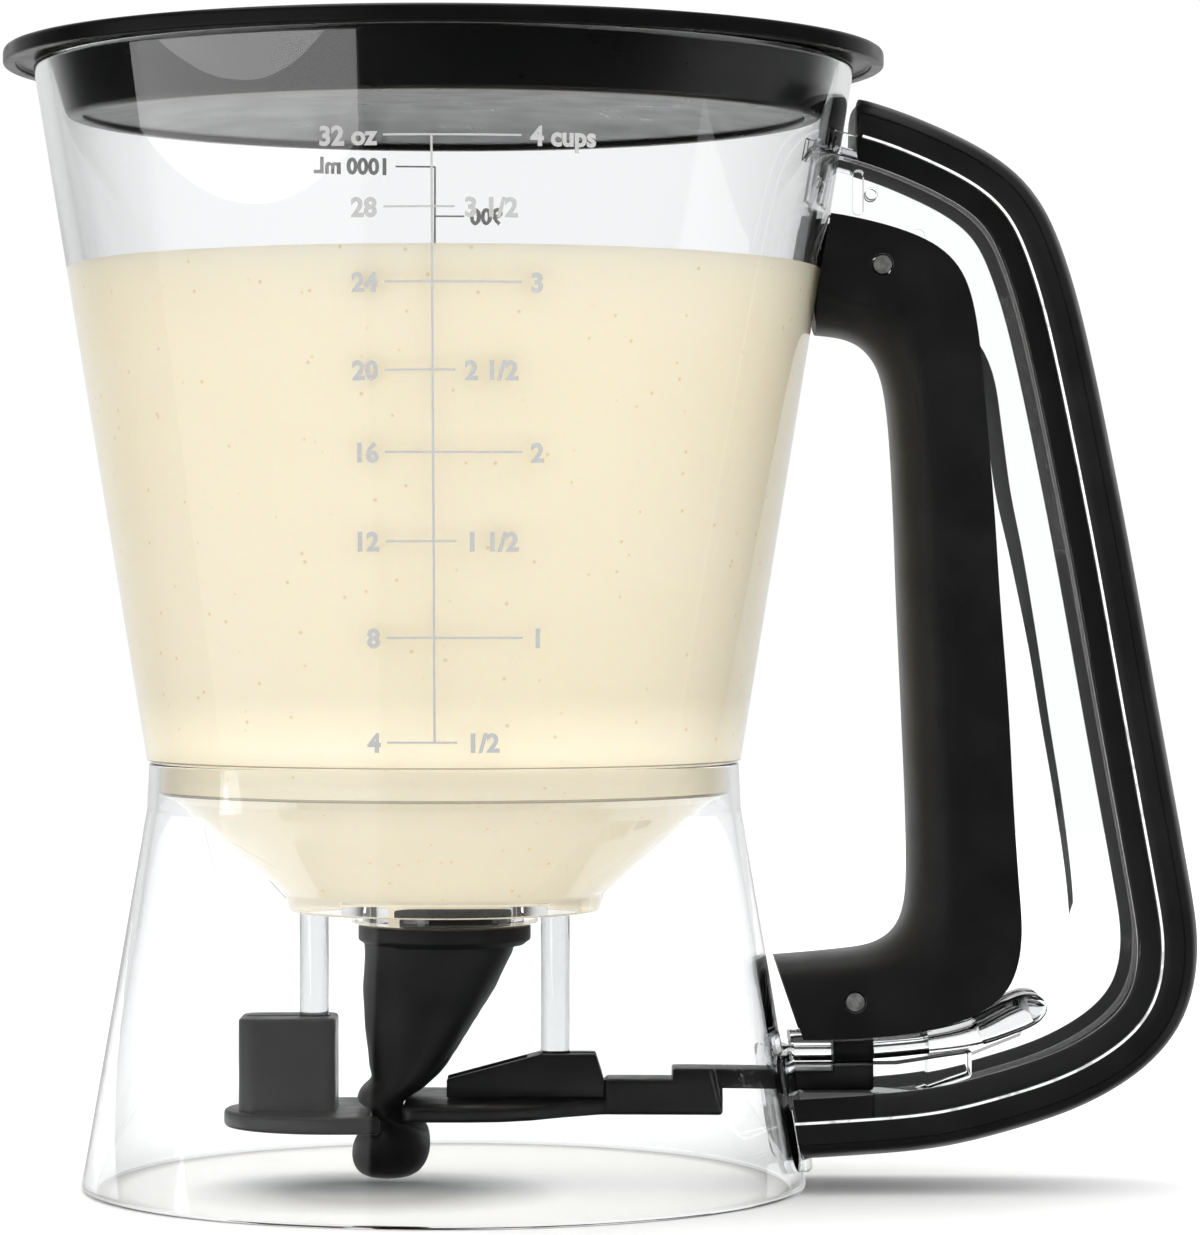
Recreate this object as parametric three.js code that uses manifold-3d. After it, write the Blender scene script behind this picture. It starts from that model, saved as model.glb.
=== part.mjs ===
// Pancake batter dispenser: a clear conical jug on a flared skirt, with a silicone spout that a
// squeezed lever opens. Millimetres, +Z up. The jug's axis is the local Z axis and the handle lies
// towards +X; the finished group is shifted so that its origin is the middle of its base.
import * as THREE from 'three';
import { mergeVertices } from 'three/addons/utils/BufferGeometryUtils.js';
import Module from 'manifold-3d';

const wasm = await Module();
wasm.setup();

// Jug and stand
const rimRadius = 65.5;
const collarRadius = 47.4;
const baseRadius = 57.9;
const skirtHeight = 60.5;
const collarHeight = 7.4;
const coneHeight = 110.8;
const vesselWall = 2.4;
const skirtWall = 2.2;
const collarWall = 1.5;
const rimRounding = 0.8;
const fitGap = 0.3;

// Bowl and outlet under the cone
const bowlDepth = 24.3;
const outletPlateRadius = 25;
const outletPlateThickness = 3;
const outletCollarRadius = 15;
const outletCollarDrop = 2.1;
const outletBore = 11;

// Posts and fins that hang from the bowl
const postRadius = 2.4;
const finThickness = 1.6;
const leftPostX = -20.9;
const rightPostX = 17.75;
const leftPostFootZ = 15.5;
const rightPostFootZ = 18.2;
const finFootReach = 10.3;
const finFootReachRight = 7.1;

// Lid
const lidRadius = 70.2;
const lidThickness = 2;
const lidPlugDepth = 9.3;
const lidLipDrop = 0.7;
const lidLipWidth = 2;
const lidPlugGap = 0.5;
const lidFillet = 2.4;

// Handle
const handleReach = 120.4;
const flangeThickness = 3;
const flangeWidth = 30;
const webThickness = 5;
const gripCrown = 6.9;
const gripSide = 3.4;
const gripOverhang = 0.6;
const saddleWidth = 35;
const saddleHeight = 17.5;
const saddleFootZ = 156.2;
const saddleThickness = 2.4;
const lowerSaddleHeight = 18.5;
const lowerSaddleFootZ = 3.5;
const lowerSaddleThickness = 1.3;
const shoulderLength = 4.6;
const armWidth = 11.8;
const railWidth = 17;
const channelWidth = 8.8;

// Lever and its pins
const pivotZ = 146.7;
const pivotOutShare = 0.1542;
const leverArm = 116.4;
const linkOffset = 4.3;
const leverWidth = 24;
const leverWall = 2;
const leverWallGap = 0.9;
const pinRadius = 1.5;
const pinRecess = 0.3;
const pinBossRadius = 4;
const pinBossHeight = 1.4;
const ribThickness = 1.4;
const ribDepth = 4.2;
const strokeDegrees = 4;

// Torsion spring
const springWire = 0.9;
const springPitch = 1.37;
const springMeanRadius = 3.3;
const springTurns = 3.25;
const springLegShare = 0.13;
const springLegToLever = 5;

// Valve, jaws and slider
const plateHalfWidth = 16;
const jawPlateZ = 9.5;
const jawPlateThickness = 2.7;
const jawPlateLeftX = -35.3;
const bossLeftX = -32.7;
const bossRightX = -17.2;
const bossTopZ = 26.9;
const bossHalfWidth = 7;
const neckLeftX = -11.6;
const neckWidth = 5;
const neckHalfDepth = 12.5;
const valveFlangeRadius = 13.8;
const valveFlangeHeight = 3.2;
const valvePlugRadius = 10.7;
const valvePlugHeight = 4.4;
const valveWall = 2;
const sliderPlateZ = 11.4;
const sliderPlateThickness = 2.4;
const sliderPlateEndX = 25;
const barTopZ = 17.1;
const barEndX = 44.4;
const barWidth = 8;
const tongueFootZ = 15.7;
const tongueTopZ = 18.8;
const riserLength = 6.5;
const riserTopZ = 33.4;
const guideStartX = 0.4;
const guideEndX = 25.4;
const guideTopZ = 21;
const guideStepZ = 17;
const guideWall = 1.2;
const guideHalfWidth = 3.7;

// Worked out from the sizes above
const collarTopZ = skirtHeight + collarHeight;
const stepZ = collarTopZ + fitGap;
const rimZ = stepZ + coneHeight;
const outletPlateZ = stepZ - bowlDepth;
const outletFootZ = outletPlateZ - outletCollarDrop;
const shoulderRadius = collarRadius - collarWall - fitGap;
const stroke = leverArm * Math.sin(THREE.MathUtils.degToRad(strokeDegrees));
const overrun = baseRadius;
const aroundJug = 56;
const aroundPin = 24;
const aroundValve = 24;
const aroundWire = 5;
const aroundLeverNose = 8;

const wallRadiusAt = (z) => (z > stepZ
  ? collarRadius + (rimRadius - collarRadius) * (z - stepZ) / coneHeight
  : collarRadius + (baseRadius - collarRadius) * Math.max(0, skirtHeight - z) / skirtHeight);

// The pivot stands off the jug's wall by a share of the room inside the handle.
const leverRoom = handleReach - wallRadiusAt(pivotZ);
const pivotX = wallRadiusAt(pivotZ) + pivotOutShare * leverRoom;
const linkX = pivotX - linkOffset;
const linkZ = pivotZ - leverArm;
const riserStartX = linkX - riserLength / 2;
const tongueEndX = linkX + riserLength / 2;
const springLegToWeb = springLegShare * leverRoom;

// Finishes
const clearPlastic = () => new THREE.MeshStandardMaterial({
  color: 0xeef3f5, roughness: 0.05, metalness: 0, transparent: true, opacity: 0.3,
});
const softBlack = () => new THREE.MeshStandardMaterial({ color: 0x141416, roughness: 0.62, metalness: 0 });
const glossBlack = () => new THREE.MeshStandardMaterial({ color: 0x0e0e10, roughness: 0.22, metalness: 0 });
const satinBlack = () => new THREE.MeshStandardMaterial({ color: 0x1b1b1d, roughness: 0.42, metalness: 0 });
const silicone = () => new THREE.MeshStandardMaterial({ color: 0x19191b, roughness: 0.7, metalness: 0 });
const steel = () => new THREE.MeshStandardMaterial({ color: 0x8d8d8f, roughness: 0.38, metalness: 1 });

// Turns a closed geometry into a solid, facing out whatever way its outline ran.
function solidFrom(geometry) {
  const bare = geometry.clone();
  bare.deleteAttribute('normal');
  bare.deleteAttribute('uv');
  const merged = mergeVertices(bare, 1e-4);
  const place = merged.attributes.position;
  const corner = (i) => new THREE.Vector3().fromBufferAttribute(place, i);
  const faces = [];
  let volume = 0;
  for (let i = 0; i < merged.index.count; i += 3) {
    const [a, b, c] = [0, 1, 2].map((k) => merged.index.getX(i + k));
    if (a === b || b === c || c === a) continue;
    faces.push([a, b, c]);
    volume += corner(a).dot(corner(b).cross(corner(c)));
  }
  const outward = volume < 0 ? faces.map(([a, b, c]) => [a, c, b]) : faces;
  return new wasm.Manifold(new wasm.Mesh({
    numProp: 3,
    vertProperties: new Float32Array(place.array),
    triVerts: new Uint32Array(outward.flat()),
  }));
}

// Gives a solid back as the named mesh of one piece.
function piece(name, solid, material) {
  const raw = solid.getMesh();
  const geometry = new THREE.BufferGeometry();
  geometry.setAttribute('position', new THREE.BufferAttribute(new Float32Array(raw.vertProperties), 3));
  geometry.setIndex(new THREE.BufferAttribute(new Uint32Array(raw.triVerts), 1));
  geometry.computeVertexNormals();
  const mesh = new THREE.Mesh(geometry, material);
  mesh.name = name;
  return mesh;
}

// A closed profile of [radius, height] points turned round the Z axis.
function turned(profile, sides = aroundJug) {
  const points = [...profile, profile[0]].map(([r, z]) => new THREE.Vector2(r, z));
  return solidFrom(new THREE.LatheGeometry(points, sides).rotateX(Math.PI / 2));
}

const shapeOf = (outline) => (outline instanceof THREE.Shape
  ? outline
  : new THREE.Shape(outline.map(([x, y]) => new THREE.Vector2(x, y))));

const extruded = (outline, depth) => new THREE.ExtrudeGeometry(
  shapeOf(outline), { depth, bevelEnabled: false, curveSegments: 6 });

// An outline in X and Z, as thick as from y0 to y1.
const sideSlab = (outline, y0, y1) => solidFrom(
  extruded(outline, y1 - y0).rotateX(Math.PI / 2).translate(0, y1, 0));

// An outline in X and Y, as thick as from z0 to z1.
const flatSlab = (outline, z0, z1) => solidFrom(extruded(outline, z1 - z0).translate(0, 0, z0));

// An outline in Y and Z, as thick as from x0 to x1.
function frontSlab(outline, x0, x1) {
  const turn = new THREE.Matrix4().makeBasis(
    new THREE.Vector3(0, 1, 0), new THREE.Vector3(0, 0, 1), new THREE.Vector3(1, 0, 0));
  return solidFrom(extruded(outline, x1 - x0).applyMatrix4(turn).translate(x0, 0, 0));
}

const block = (x0, x1, halfY, z0, z1) => sideSlab([[x0, z0], [x1, z0], [x1, z1], [x0, z1]], -halfY, halfY);

// A rectangle with round corners, for any of the slabs.
function roundedRectangle(x0, x1, y0, y1, radius) {
  const shape = new THREE.Shape();
  shape.absarc(x1 - radius, y0 + radius, radius, -Math.PI / 2, 0);
  shape.absarc(x1 - radius, y1 - radius, radius, 0, Math.PI / 2);
  shape.absarc(x0 + radius, y1 - radius, radius, Math.PI / 2, Math.PI);
  shape.absarc(x0 + radius, y0 + radius, radius, Math.PI, Math.PI * 3 / 2);
  return shape;
}

// A round pin or hole along Y at (x, z).
function crossPin(x, z, radius, y0, y1) {
  return solidFrom(new THREE.CylinderGeometry(radius, radius, y1 - y0, aroundPin)
    .translate(x, (y0 + y1) / 2, z));
}

// A round post along Z at (x, 0).
const uprightPin = (x, radius, z0, z1) => solidFrom(
  new THREE.CylinderGeometry(radius, radius, z1 - z0, aroundPin)
    .rotateX(Math.PI / 2).translate(x, 0, (z0 + z1) / 2));

// A body through a row of rings with the same number of points each, closed at both ends.
function lofted(rings, capOutline) {
  const count = rings[0].length;
  const index = [];
  for (let i = 0; i + 1 < rings.length; i += 1) {
    for (let j = 0; j < count; j += 1) {
      const a = i * count + j;
      const b = i * count + (j + 1) % count;
      index.push(a, b, b + count, a, b + count, a + count);
    }
  }
  const last = (rings.length - 1) * count;
  const outline = capOutline.map(([u, v]) => new THREE.Vector2(u, v));
  const clockwise = THREE.ShapeUtils.isClockWise(outline);
  for (const [a, b, c] of THREE.ShapeUtils.triangulateShape(outline, [])) {
    const [p, q] = clockwise ? [c, b] : [b, c];
    index.push(a, q, p, last + a, last + p, last + q);
  }
  const geometry = new THREE.BufferGeometry();
  geometry.setAttribute('position', new THREE.Float32BufferAttribute(rings.flat().flatMap((p) => p.toArray()), 3));
  geometry.setIndex(index);
  return solidFrom(geometry);
}

// Sweeps a section of [outward, sideways] points along stations of {x, y, z, nx, nz}.
function swept(stations, section) {
  const rings = stations.map((s) => section.map(([out, side]) => (
    new THREE.Vector3(s.x + s.nx * out, (s.y ?? 0) + side, s.z + s.nz * out))));
  return lofted(rings, section);
}

const joined = (solids) => solids.reduce((sum, solid) => sum.add(solid));
const cutBy = (solid, cutters) => cutters.reduce((rest, cutter) => rest.subtract(cutter), solid);

// Everything inside the jug's outer wall, grown by a gap: what a fitted piece is cut by.
function insideOfWall(gap) {
  return turned([
    [0, -overrun], [baseRadius + gap, -overrun], [baseRadius + gap, 0], [collarRadius + gap, skirtHeight],
    [collarRadius + gap, stepZ], [rimRadius + gap, rimZ], [rimRadius + gap, rimZ + overrun], [0, rimZ + overrun],
  ]);
}

// Cone, bowl, outlet collar, posts and fins: one clear moulding.
function makeVessel() {
  // Outside of the bowl, as shares of the way from the outlet plate to the shoulder.
  const bowlShares = [[0, 0.13], [0.29, 0.4], [0.58, 0.66], [0.75, 0.82], [0.9, 0.97]];
  const shoulderZ = outletPlateZ + bowlDepth * 0.76;
  const bowl = (wall) => bowlShares.map(([r, z]) => [
    outletPlateRadius + r * (shoulderRadius - outletPlateRadius) - wall * 0.6,
    outletPlateZ + z * (shoulderZ - outletPlateZ) + wall * 0.8,
  ]);
  const innerRim = rimRadius - vesselWall;
  const innerStep = shoulderRadius - vesselWall;
  const profile = [
    [outletBore, outletFootZ], [outletCollarRadius, outletFootZ], [outletCollarRadius, outletPlateZ],
    [outletPlateRadius, outletPlateZ], ...bowl(0), [shoulderRadius, shoulderZ + vesselWall * 0.4],
    [shoulderRadius, stepZ], [collarRadius, stepZ], [rimRadius, rimZ - rimRounding],
    [rimRadius - rimRounding, rimZ], [innerRim + rimRounding, rimZ], [innerRim, rimZ - rimRounding],
    [innerStep, stepZ], [innerStep, shoulderZ + vesselWall], ...bowl(vesselWall).reverse(),
    [outletPlateRadius - vesselWall, outletPlateZ + outletPlateThickness],
    [outletBore, outletPlateZ + outletPlateThickness],
  ];
  const shell = turned(profile);
  const plateMiddleZ = outletPlateZ + outletPlateThickness / 2;
  const leftFin = [
    [leftPostX, plateMiddleZ], [leftPostX, leftPostFootZ], [leftPostX - finFootReach, leftPostFootZ],
    [leftPostX - finFootReach, bossTopZ], [-shoulderRadius * 0.83, shoulderZ - vesselWall],
    [-shoulderRadius * 0.78, shoulderZ - vesselWall], [-outletPlateRadius, plateMiddleZ],
  ];
  const rightFin = [
    [rightPostX, plateMiddleZ], [outletPlateRadius, plateMiddleZ],
    [shoulderRadius * 0.78, shoulderZ - vesselWall], [shoulderRadius * 0.83, shoulderZ - vesselWall],
    [(shoulderRadius + rightPostX + finFootReachRight) * 0.47, (plateMiddleZ + rightPostFootZ) * 0.62],
    [rightPostX + finFootReachRight, guideTopZ], [rightPostX + finFootReachRight, rightPostFootZ],
    [rightPostX, rightPostFootZ],
  ];
  return joined([
    shell,
    uprightPin(leftPostX, postRadius, leftPostFootZ, plateMiddleZ),
    uprightPin(rightPostX, postRadius, rightPostFootZ, plateMiddleZ),
    sideSlab(leftFin, -finThickness / 2, finThickness / 2),
    sideSlab(rightFin, -finThickness / 2, finThickness / 2),
  ]);
}

// Collar that grips the vessel, flared skirt, and the window that the slider's tongue passes through.
function makeBaseSkirt() {
  const innerCollar = collarRadius - collarWall;
  const innerBase = baseRadius - skirtWall;
  const edge = skirtWall / 4;
  const shell = turned([
    [innerBase, 0], [baseRadius - edge, 0], [baseRadius, edge], [collarRadius, skirtHeight],
    [collarRadius, collarTopZ], [innerCollar, collarTopZ], [innerCollar, skirtHeight],
    [collarRadius - skirtWall, skirtHeight - collarWall],
  ]);
  const window = block(wallRadiusAt(tongueTopZ) - skirtWall * 2, baseRadius + overrun, channelWidth / 2,
    tongueFootZ - fitGap, tongueTopZ + fitGap);
  return shell.subtract(window);
}

// The line that the handle's flange follows, from the jug's wall at the top to the skirt at the foot.
function handleLine() {
  const lineShares = [
    [0.5, 0.9405], [0.5714, 0.9263], [0.6354, 0.9089], [0.6902, 0.8905], [0.7326, 0.8681], [0.7592, 0.8346],
    [0.7932, 0.7587], [0.8455, 0.5883], [0.8937, 0.4078], [0.9336, 0.2598], [0.9419, 0.2179],
    [0.9319, 0.1726], [0.8953, 0.1391], [0.8231, 0.1089], [0.7359, 0.0888], [0.6437, 0.0737],
    [0.5316, 0.067], [0.4153, 0.0626],
  ];
  const jugHeight = rimZ;
  return new THREE.SplineCurve(lineShares.map(([x, z]) => new THREE.Vector2(x * handleReach, z * jugHeight)));
}

// Stations along a curve in X and Z between two shares of its length, with normals facing out of the handle.
function stationsOn(curve, steps, from = 0, to = 1) {
  return Array.from({ length: steps + 1 }, (_, i) => {
    const share = from + (to - from) * i / steps;
    const at = curve.getPointAt(share);
    const along = curve.getTangentAt(share);
    return { x: at.x, z: at.y, nx: -along.y, nz: along.x };
  });
}

// Share of the handle's line at which it has come as far out as x.
function lineShareAt(curve, x) {
  let [low, high] = [0, 0.3];
  for (let i = 0; i < 30; i += 1) {
    const middle = (low + high) / 2;
    if (curve.getPointAt(middle).x < x) low = middle;
    else high = middle;
  }
  return low;
}

const gripStartShare = () => lineShareAt(
  handleLine(), wallRadiusAt(saddleFootZ + saddleHeight / 2) + saddleThickness + shoulderLength - flangeThickness);

// Inner edge of the clear web, from the top saddle round the pivot and down to the lower arm.
function webInnerEdge() {
  const height = rimZ;
  const downShares = [
    [0.6437, 0.7682], [0.6686, 0.7207], [0.6944, 0.6564], [0.7159, 0.6369], [0.7384, 0.5955],
    [0.7533, 0.5279], [0.7716, 0.4486], [0.7982, 0.3592], [0.8214, 0.2631], [0.8272, 0.2263], [0.8223, 0.2084], [0.8073, 0.1905], [0.784, 0.1788],
    [0.7641, 0.1352], [0.6977, 0.1173], [0.598, 0.1112], [0.35, 0.11],
  ];
  const bossReach = pinBossRadius + pinRadius;
  const round = (degrees) => [
    pivotX + bossReach * Math.cos(THREE.MathUtils.degToRad(degrees)),
    pivotZ + bossReach * Math.sin(THREE.MathUtils.degToRad(degrees)),
  ];
  return [
    [rimRadius / 2, saddleFootZ], [pivotX - bossReach - pinRadius, saddleFootZ - pinRadius],
    ...[165, 195, 225, 255, 285, 310].map(round),
    ...downShares.map(([x, z]) => [x * handleReach, z * height]),
  ];
}

// A plate that lies on the jug's or skirt's wall, between two heights.
function saddle(footZ, height, width, thickness) {
  const plate = roundedRectangle(-width / 2, width / 2, footZ, footZ + height, height / 5);
  return insideOfWall(fitGap + thickness).intersect(frontSlab(plate, 0, overrun + rimRadius));
}

// Underside of the slide rail: the lower arm ends a gap below it.
const railFootShares = [[0.4, 0.115], [0.598, 0.116], [0.6977, 0.1263], [0.7849, 0.1441]];
const railTopShares = [
  [0.7849, 0.176], [0.7475, 0.1676], [0.6977, 0.1525], [0.6312, 0.1413], [0.5482, 0.1374], [0.4, 0.137],
];
const railPoints = (shares) => shares.map(([x, z]) => [x * handleReach, z * rimZ]);

// Flange, web, saddles, shoulder and the lower arm with the slider's channel: the clear handle.
function makeHandleFrame() {
  const line = handleLine();
  const half = flangeWidth / 2;
  const edge = flangeThickness / 3;
  const flange = swept(stationsOn(line, 44), [
    [0, -half], [0, half], [-flangeThickness + edge, half], [-flangeThickness, half - edge],
    [-flangeThickness, -half + edge], [-flangeThickness + edge, -half],
  ]);
  const shoulder = swept(stationsOn(line, 4, 0, gripStartShare()), [
    [-flangeThickness / 2, -half], [gripSide, -half - gripOverhang], [gripCrown - gripSide / 2, -half * 0.6],
    [gripCrown, 0], [gripCrown - gripSide / 2, half * 0.6], [gripSide, half + gripOverhang],
    [-flangeThickness / 2, half],
  ]);
  const outerEdge = stationsOn(line, 44).map((s) => [
    s.x - s.nx * flangeThickness / 2, s.z - s.nz * flangeThickness / 2]);
  const web = sideSlab([...outerEdge, ...webInnerEdge().reverse()], -webThickness / 2, webThickness / 2);
  const channelEndX = tongueEndX + stroke + fitGap * 2;
  const lineZ = line.getPointAt(1).y;
  const railFoot = railPoints(railFootShares).slice(0, -1).map(([x, z]) => [x, z - fitGap]);
  const armEndX = railFoot[railFoot.length - 1][0];
  const arm = sideSlab([
    ...railFoot, [armEndX, lineZ + flangeThickness * 1.5], [railFoot[0][0], lineZ + flangeThickness / 2],
  ], -armWidth / 2, armWidth / 2);
  const channel = block(0, channelEndX, channelWidth / 2, tongueFootZ - fitGap, pivotZ / 3);
  const slotX = wallRadiusAt(saddleFootZ) + saddleThickness + fitGap + pinRadius * 2;
  const slot = roundedRectangle(slotX, slotX + pinRadius * 1.1, saddleFootZ, saddleFootZ + saddleHeight * 0.37,
    pinRadius * 0.54);
  const bump = crossPin(slotX + pinRadius * 1.9, saddleFootZ + saddleHeight * 0.13, pinRadius * 0.7,
    -webThickness / 2 - fitGap, webThickness / 2 + fitGap);
  const pegRadius = pinRadius * 0.8;
  const peg = crossPin(pivotX + springLegToWeb - pinRadius, pivotZ + springMeanRadius + springWire / 2 + fitGap
    + pegRadius, pegRadius, 0, webThickness / 2 + springWire * 2.5);
  const body = joined([
    flange, web, arm, shoulder, bump, peg,
    saddle(saddleFootZ, saddleHeight, saddleWidth, saddleThickness),
    saddle(lowerSaddleFootZ, lowerSaddleHeight, flangeWidth, lowerSaddleThickness),
  ]);
  return cutBy(body, [
    insideOfWall(fitGap), channel,
    sideSlab(slot, -flangeWidth, flangeWidth),
    crossPin(pivotX, pivotZ, pinRadius + fitGap, -flangeWidth, flangeWidth),
  ]);
}

// Rail that closes the lower arm, with a slot for the slider's riser.
function makeSlideRail() {
  const foot = railPoints(railFootShares);
  const top = railPoints(railTopShares);
  const middle = (foot[3][1] + top[0][1]) / 2;
  const nose = [foot[3][0] + (top[0][1] - foot[3][1]) / 3, middle];
  const rail = sideSlab([...foot, nose, ...top], -railWidth / 2, railWidth / 2);
  const slotEndX = tongueEndX + stroke + fitGap * 2;
  const slot = block(0, slotEndX, channelWidth / 2, 0, pivotZ / 2);
  const webSlotX = slotEndX + (nose[0] - slotEndX) * 0.43;
  const webSlot = block(webSlotX, overrun + rimRadius, webThickness / 2 + fitGap, 0, pivotZ / 2);
  return cutBy(rail, [slot, webSlot, insideOfWall(fitGap * 2 + lowerSaddleThickness)]);
}

// Soft pad over the back of the flange, crowned across and creased at its shoulders.
function makeHandleGrip() {
  const half = flangeWidth / 2 + gripOverhang;
  const section = [
    [fitGap, -half], [gripSide, -half - gripOverhang / 2], [gripCrown * 0.76, -half * 0.86],
    [gripCrown * 0.93, -half * 0.5], [gripCrown, 0], [gripCrown * 0.93, half * 0.5],
    [gripCrown * 0.76, half * 0.86], [gripSide, half + gripOverhang / 2], [fitGap, half],
  ];
  const startShare = gripStartShare() + fitGap / handleReach / 2;
  const pad = swept(stationsOn(handleLine(), 48, startShare, 1), section);
  return pad.subtract(insideOfWall(fitGap * 2 + lowerSaddleThickness));
}

// Finger edge and back edge of the lever, from the pivot: shares of the handle's room in X and of the arm in Z.
function leverCurves() {
  const stationShares = [
    [-0.216, -0.0893, -0.1661, 0.0713], [-0.1495, -0.0919, -0.1064, 0.0679], [-0.088, -0.0971, 0.0333, 0.0507],
    [-0.0431, -0.1091, 0.1412, 0.0275], [-0.0101, -0.1297, 0.2044, -0.0034], [0.0083, -0.1564, 0.2342, -0.0438],
    [0.0217, -0.1993, 0.2542, -0.1048], [0.0315, -0.2637, 0.2708, -0.1993], [0.0398, -0.354, 0.2925, -0.3325],
    [0.0466, -0.4545, 0.3073, -0.4527], [0.0582, -0.5902, 0.329, -0.5988], [0.0698, -0.7277, 0.3439, -0.7448],
    [0.0731, -0.8222, 0.3572, -0.8436], [0.0681, -0.8694, 0.3656, -0.9029], [0.0514, -0.8978, 0.3555, -0.9527],
    [0.025, -0.9149, 0.3174, -0.994], [-0.0184, -0.927, 0.2309, -1.0206], [-0.0665, -0.9321, 0.1246, -1.0387],
    [-0.1412, -0.9364, -0.0083, -1.0472], [-0.211, -0.9399, -0.1162, -1.0507], [-0.2808, -0.9424, -0.2077, -1.0515],
  ];
  const curve = (k) => new THREE.SplineCurve(stationShares.map((s) => (
    new THREE.Vector2(pivotX + s[k] * leverRoom, pivotZ + s[k + 1] * leverArm))));
  return { finger: curve(0), back: curve(2) };
}

// Open U section between a finger edge and a back edge: side walls and a rounded finger side.
function leverSection(depth, halfWidth, wall) {
  const nose = depth * 0.55;
  const arc = Array.from({ length: aroundLeverNose + 1 }, (_, i) => Math.PI * i / aroundLeverNose);
  const contour = (inset) => [
    [0, halfWidth - inset],
    ...arc.map((t) => [depth - nose + (nose - inset) * Math.sin(t), (halfWidth - inset) * Math.cos(t)]),
    [0, -halfWidth + inset],
  ];
  return [...contour(0), ...contour(wall).reverse()];
}

// Hollow squeeze lever: a moulded U section along a bent line, with ribs and pin bosses inside.
function makeTriggerLever() {
  const { finger, back } = leverCurves();
  const steps = 30;
  const half = leverWidth / 2;
  const sections = [];
  const rings = Array.from({ length: steps + 1 }, (_, i) => {
    const crest = finger.getPoint(i / steps);
    const open = back.getPoint(i / steps);
    const depth = crest.distanceTo(open);
    const out = crest.clone().sub(open).divideScalar(depth);
    const section = leverSection(depth, half, leverWall);
    sections.push(section);
    return section.map(([a, side]) => new THREE.Vector3(open.x + out.x * a, side, open.y + out.y * a));
  });
  const shell = lofted(rings, sections[0]);
  // Full shape of the lever without its hollow, which trims what is added inside.
  const solidRings = rings.map((ring) => ring.slice(0, ring.length / 2));
  const envelope = lofted(solidRings, sections[0].slice(0, sections[0].length / 2));
  const ribs = [0.36, 0.47, 0.58].map((share) => {
    const crest = finger.getPoint(share);
    const open = back.getPoint(share);
    const inward = open.clone().sub(crest).normalize();
    const across = new THREE.Vector2(-inward.y, inward.x).multiplyScalar(ribThickness / 2);
    const deep = crest.clone().addScaledVector(inward, leverWall + ribDepth);
    const outline = [
      crest.clone().add(across), crest.clone().sub(across), deep.clone().sub(across), deep.clone().add(across),
    ].map((p) => [p.x, p.y]);
    return sideSlab(outline, -half, half);
  });
  const mouth = finger.getPoint(1);
  const gussetRoom = riserStartX - ribThickness * 1.5 - mouth.x;
  const gusset = sideSlab([
    [mouth.x, mouth.y], [mouth.x + gussetRoom * 0.2, mouth.y - ribDepth * 1.3],
    [mouth.x + gussetRoom * 0.58, mouth.y - ribDepth * 1.9], [mouth.x + gussetRoom, mouth.y - ribDepth * 1.9],
    [mouth.x + gussetRoom, mouth.y],
  ], -ribThickness / 2, ribThickness / 2);
  const bosses = [[pivotX, pivotZ], [linkX, linkZ]].flatMap(([x, z]) => [
    crossPin(x, z, pinBossRadius, half - leverWall - pinBossHeight, half - leverWall / 2),
    crossPin(x, z, pinBossRadius, -half + leverWall / 2, -half + leverWall + pinBossHeight),
  ]);
  const insides = joined([...ribs, gusset, ...bosses]).intersect(envelope);
  const pinHole = (x, z) => crossPin(x, z, pinRadius + fitGap, -leverWidth, leverWidth);
  return cutBy(shell.add(insides), [
    pinHole(pivotX, pivotZ), pinHole(linkX, linkZ), insideOfWall(leverWallGap),
  ]);
}

const makePin = (x, z) => crossPin(x, z, pinRadius, -leverWidth / 2 + pinRecess, leverWidth / 2 - pinRecess);

// Torsion spring on the pivot pin: one leg bears up on the web's peg, the other on the lever's finger wall.
function makeReturnSpring() {
  const startY = webThickness / 2 + fitGap + springWire / 2;
  const stepsPerTurn = 8;
  const steps = springTurns * stepsPerTurn;
  const centres = [new THREE.Vector3(pivotX + springLegToWeb, startY, pivotZ + springMeanRadius)];
  for (let i = 0; i <= steps; i += 1) {
    const angle = Math.PI / 2 + Math.PI * 2 * i / stepsPerTurn;
    centres.push(new THREE.Vector3(
      pivotX + springMeanRadius * Math.cos(angle),
      startY + springPitch * i / stepsPerTurn,
      pivotZ + springMeanRadius * Math.sin(angle)));
  }
  const coilEnd = centres[centres.length - 1];
  centres.push(new THREE.Vector3(coilEnd.x, coilEnd.y, coilEnd.z - springLegToLever));
  const wire = Array.from({ length: aroundWire }, (_, k) => Math.PI * 2 * k / aroundWire)
    .map((angle) => [springWire / 2 * Math.cos(angle), springWire / 2 * Math.sin(angle)]);
  const stations = centres.map((at, i) => {
    const before = centres[Math.max(i - 1, 0)];
    const after = centres[Math.min(i + 1, centres.length - 1)];
    const along = new THREE.Vector2(after.x - before.x, after.z - before.z).normalize();
    return { x: at.x, y: at.y, z: at.z, nx: -along.y, nz: along.x };
  });
  console.log(`spring: least gap between turns ${(springPitch - springWire).toFixed(2)} mm`);
  return swept(stations, wire);
}

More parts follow.
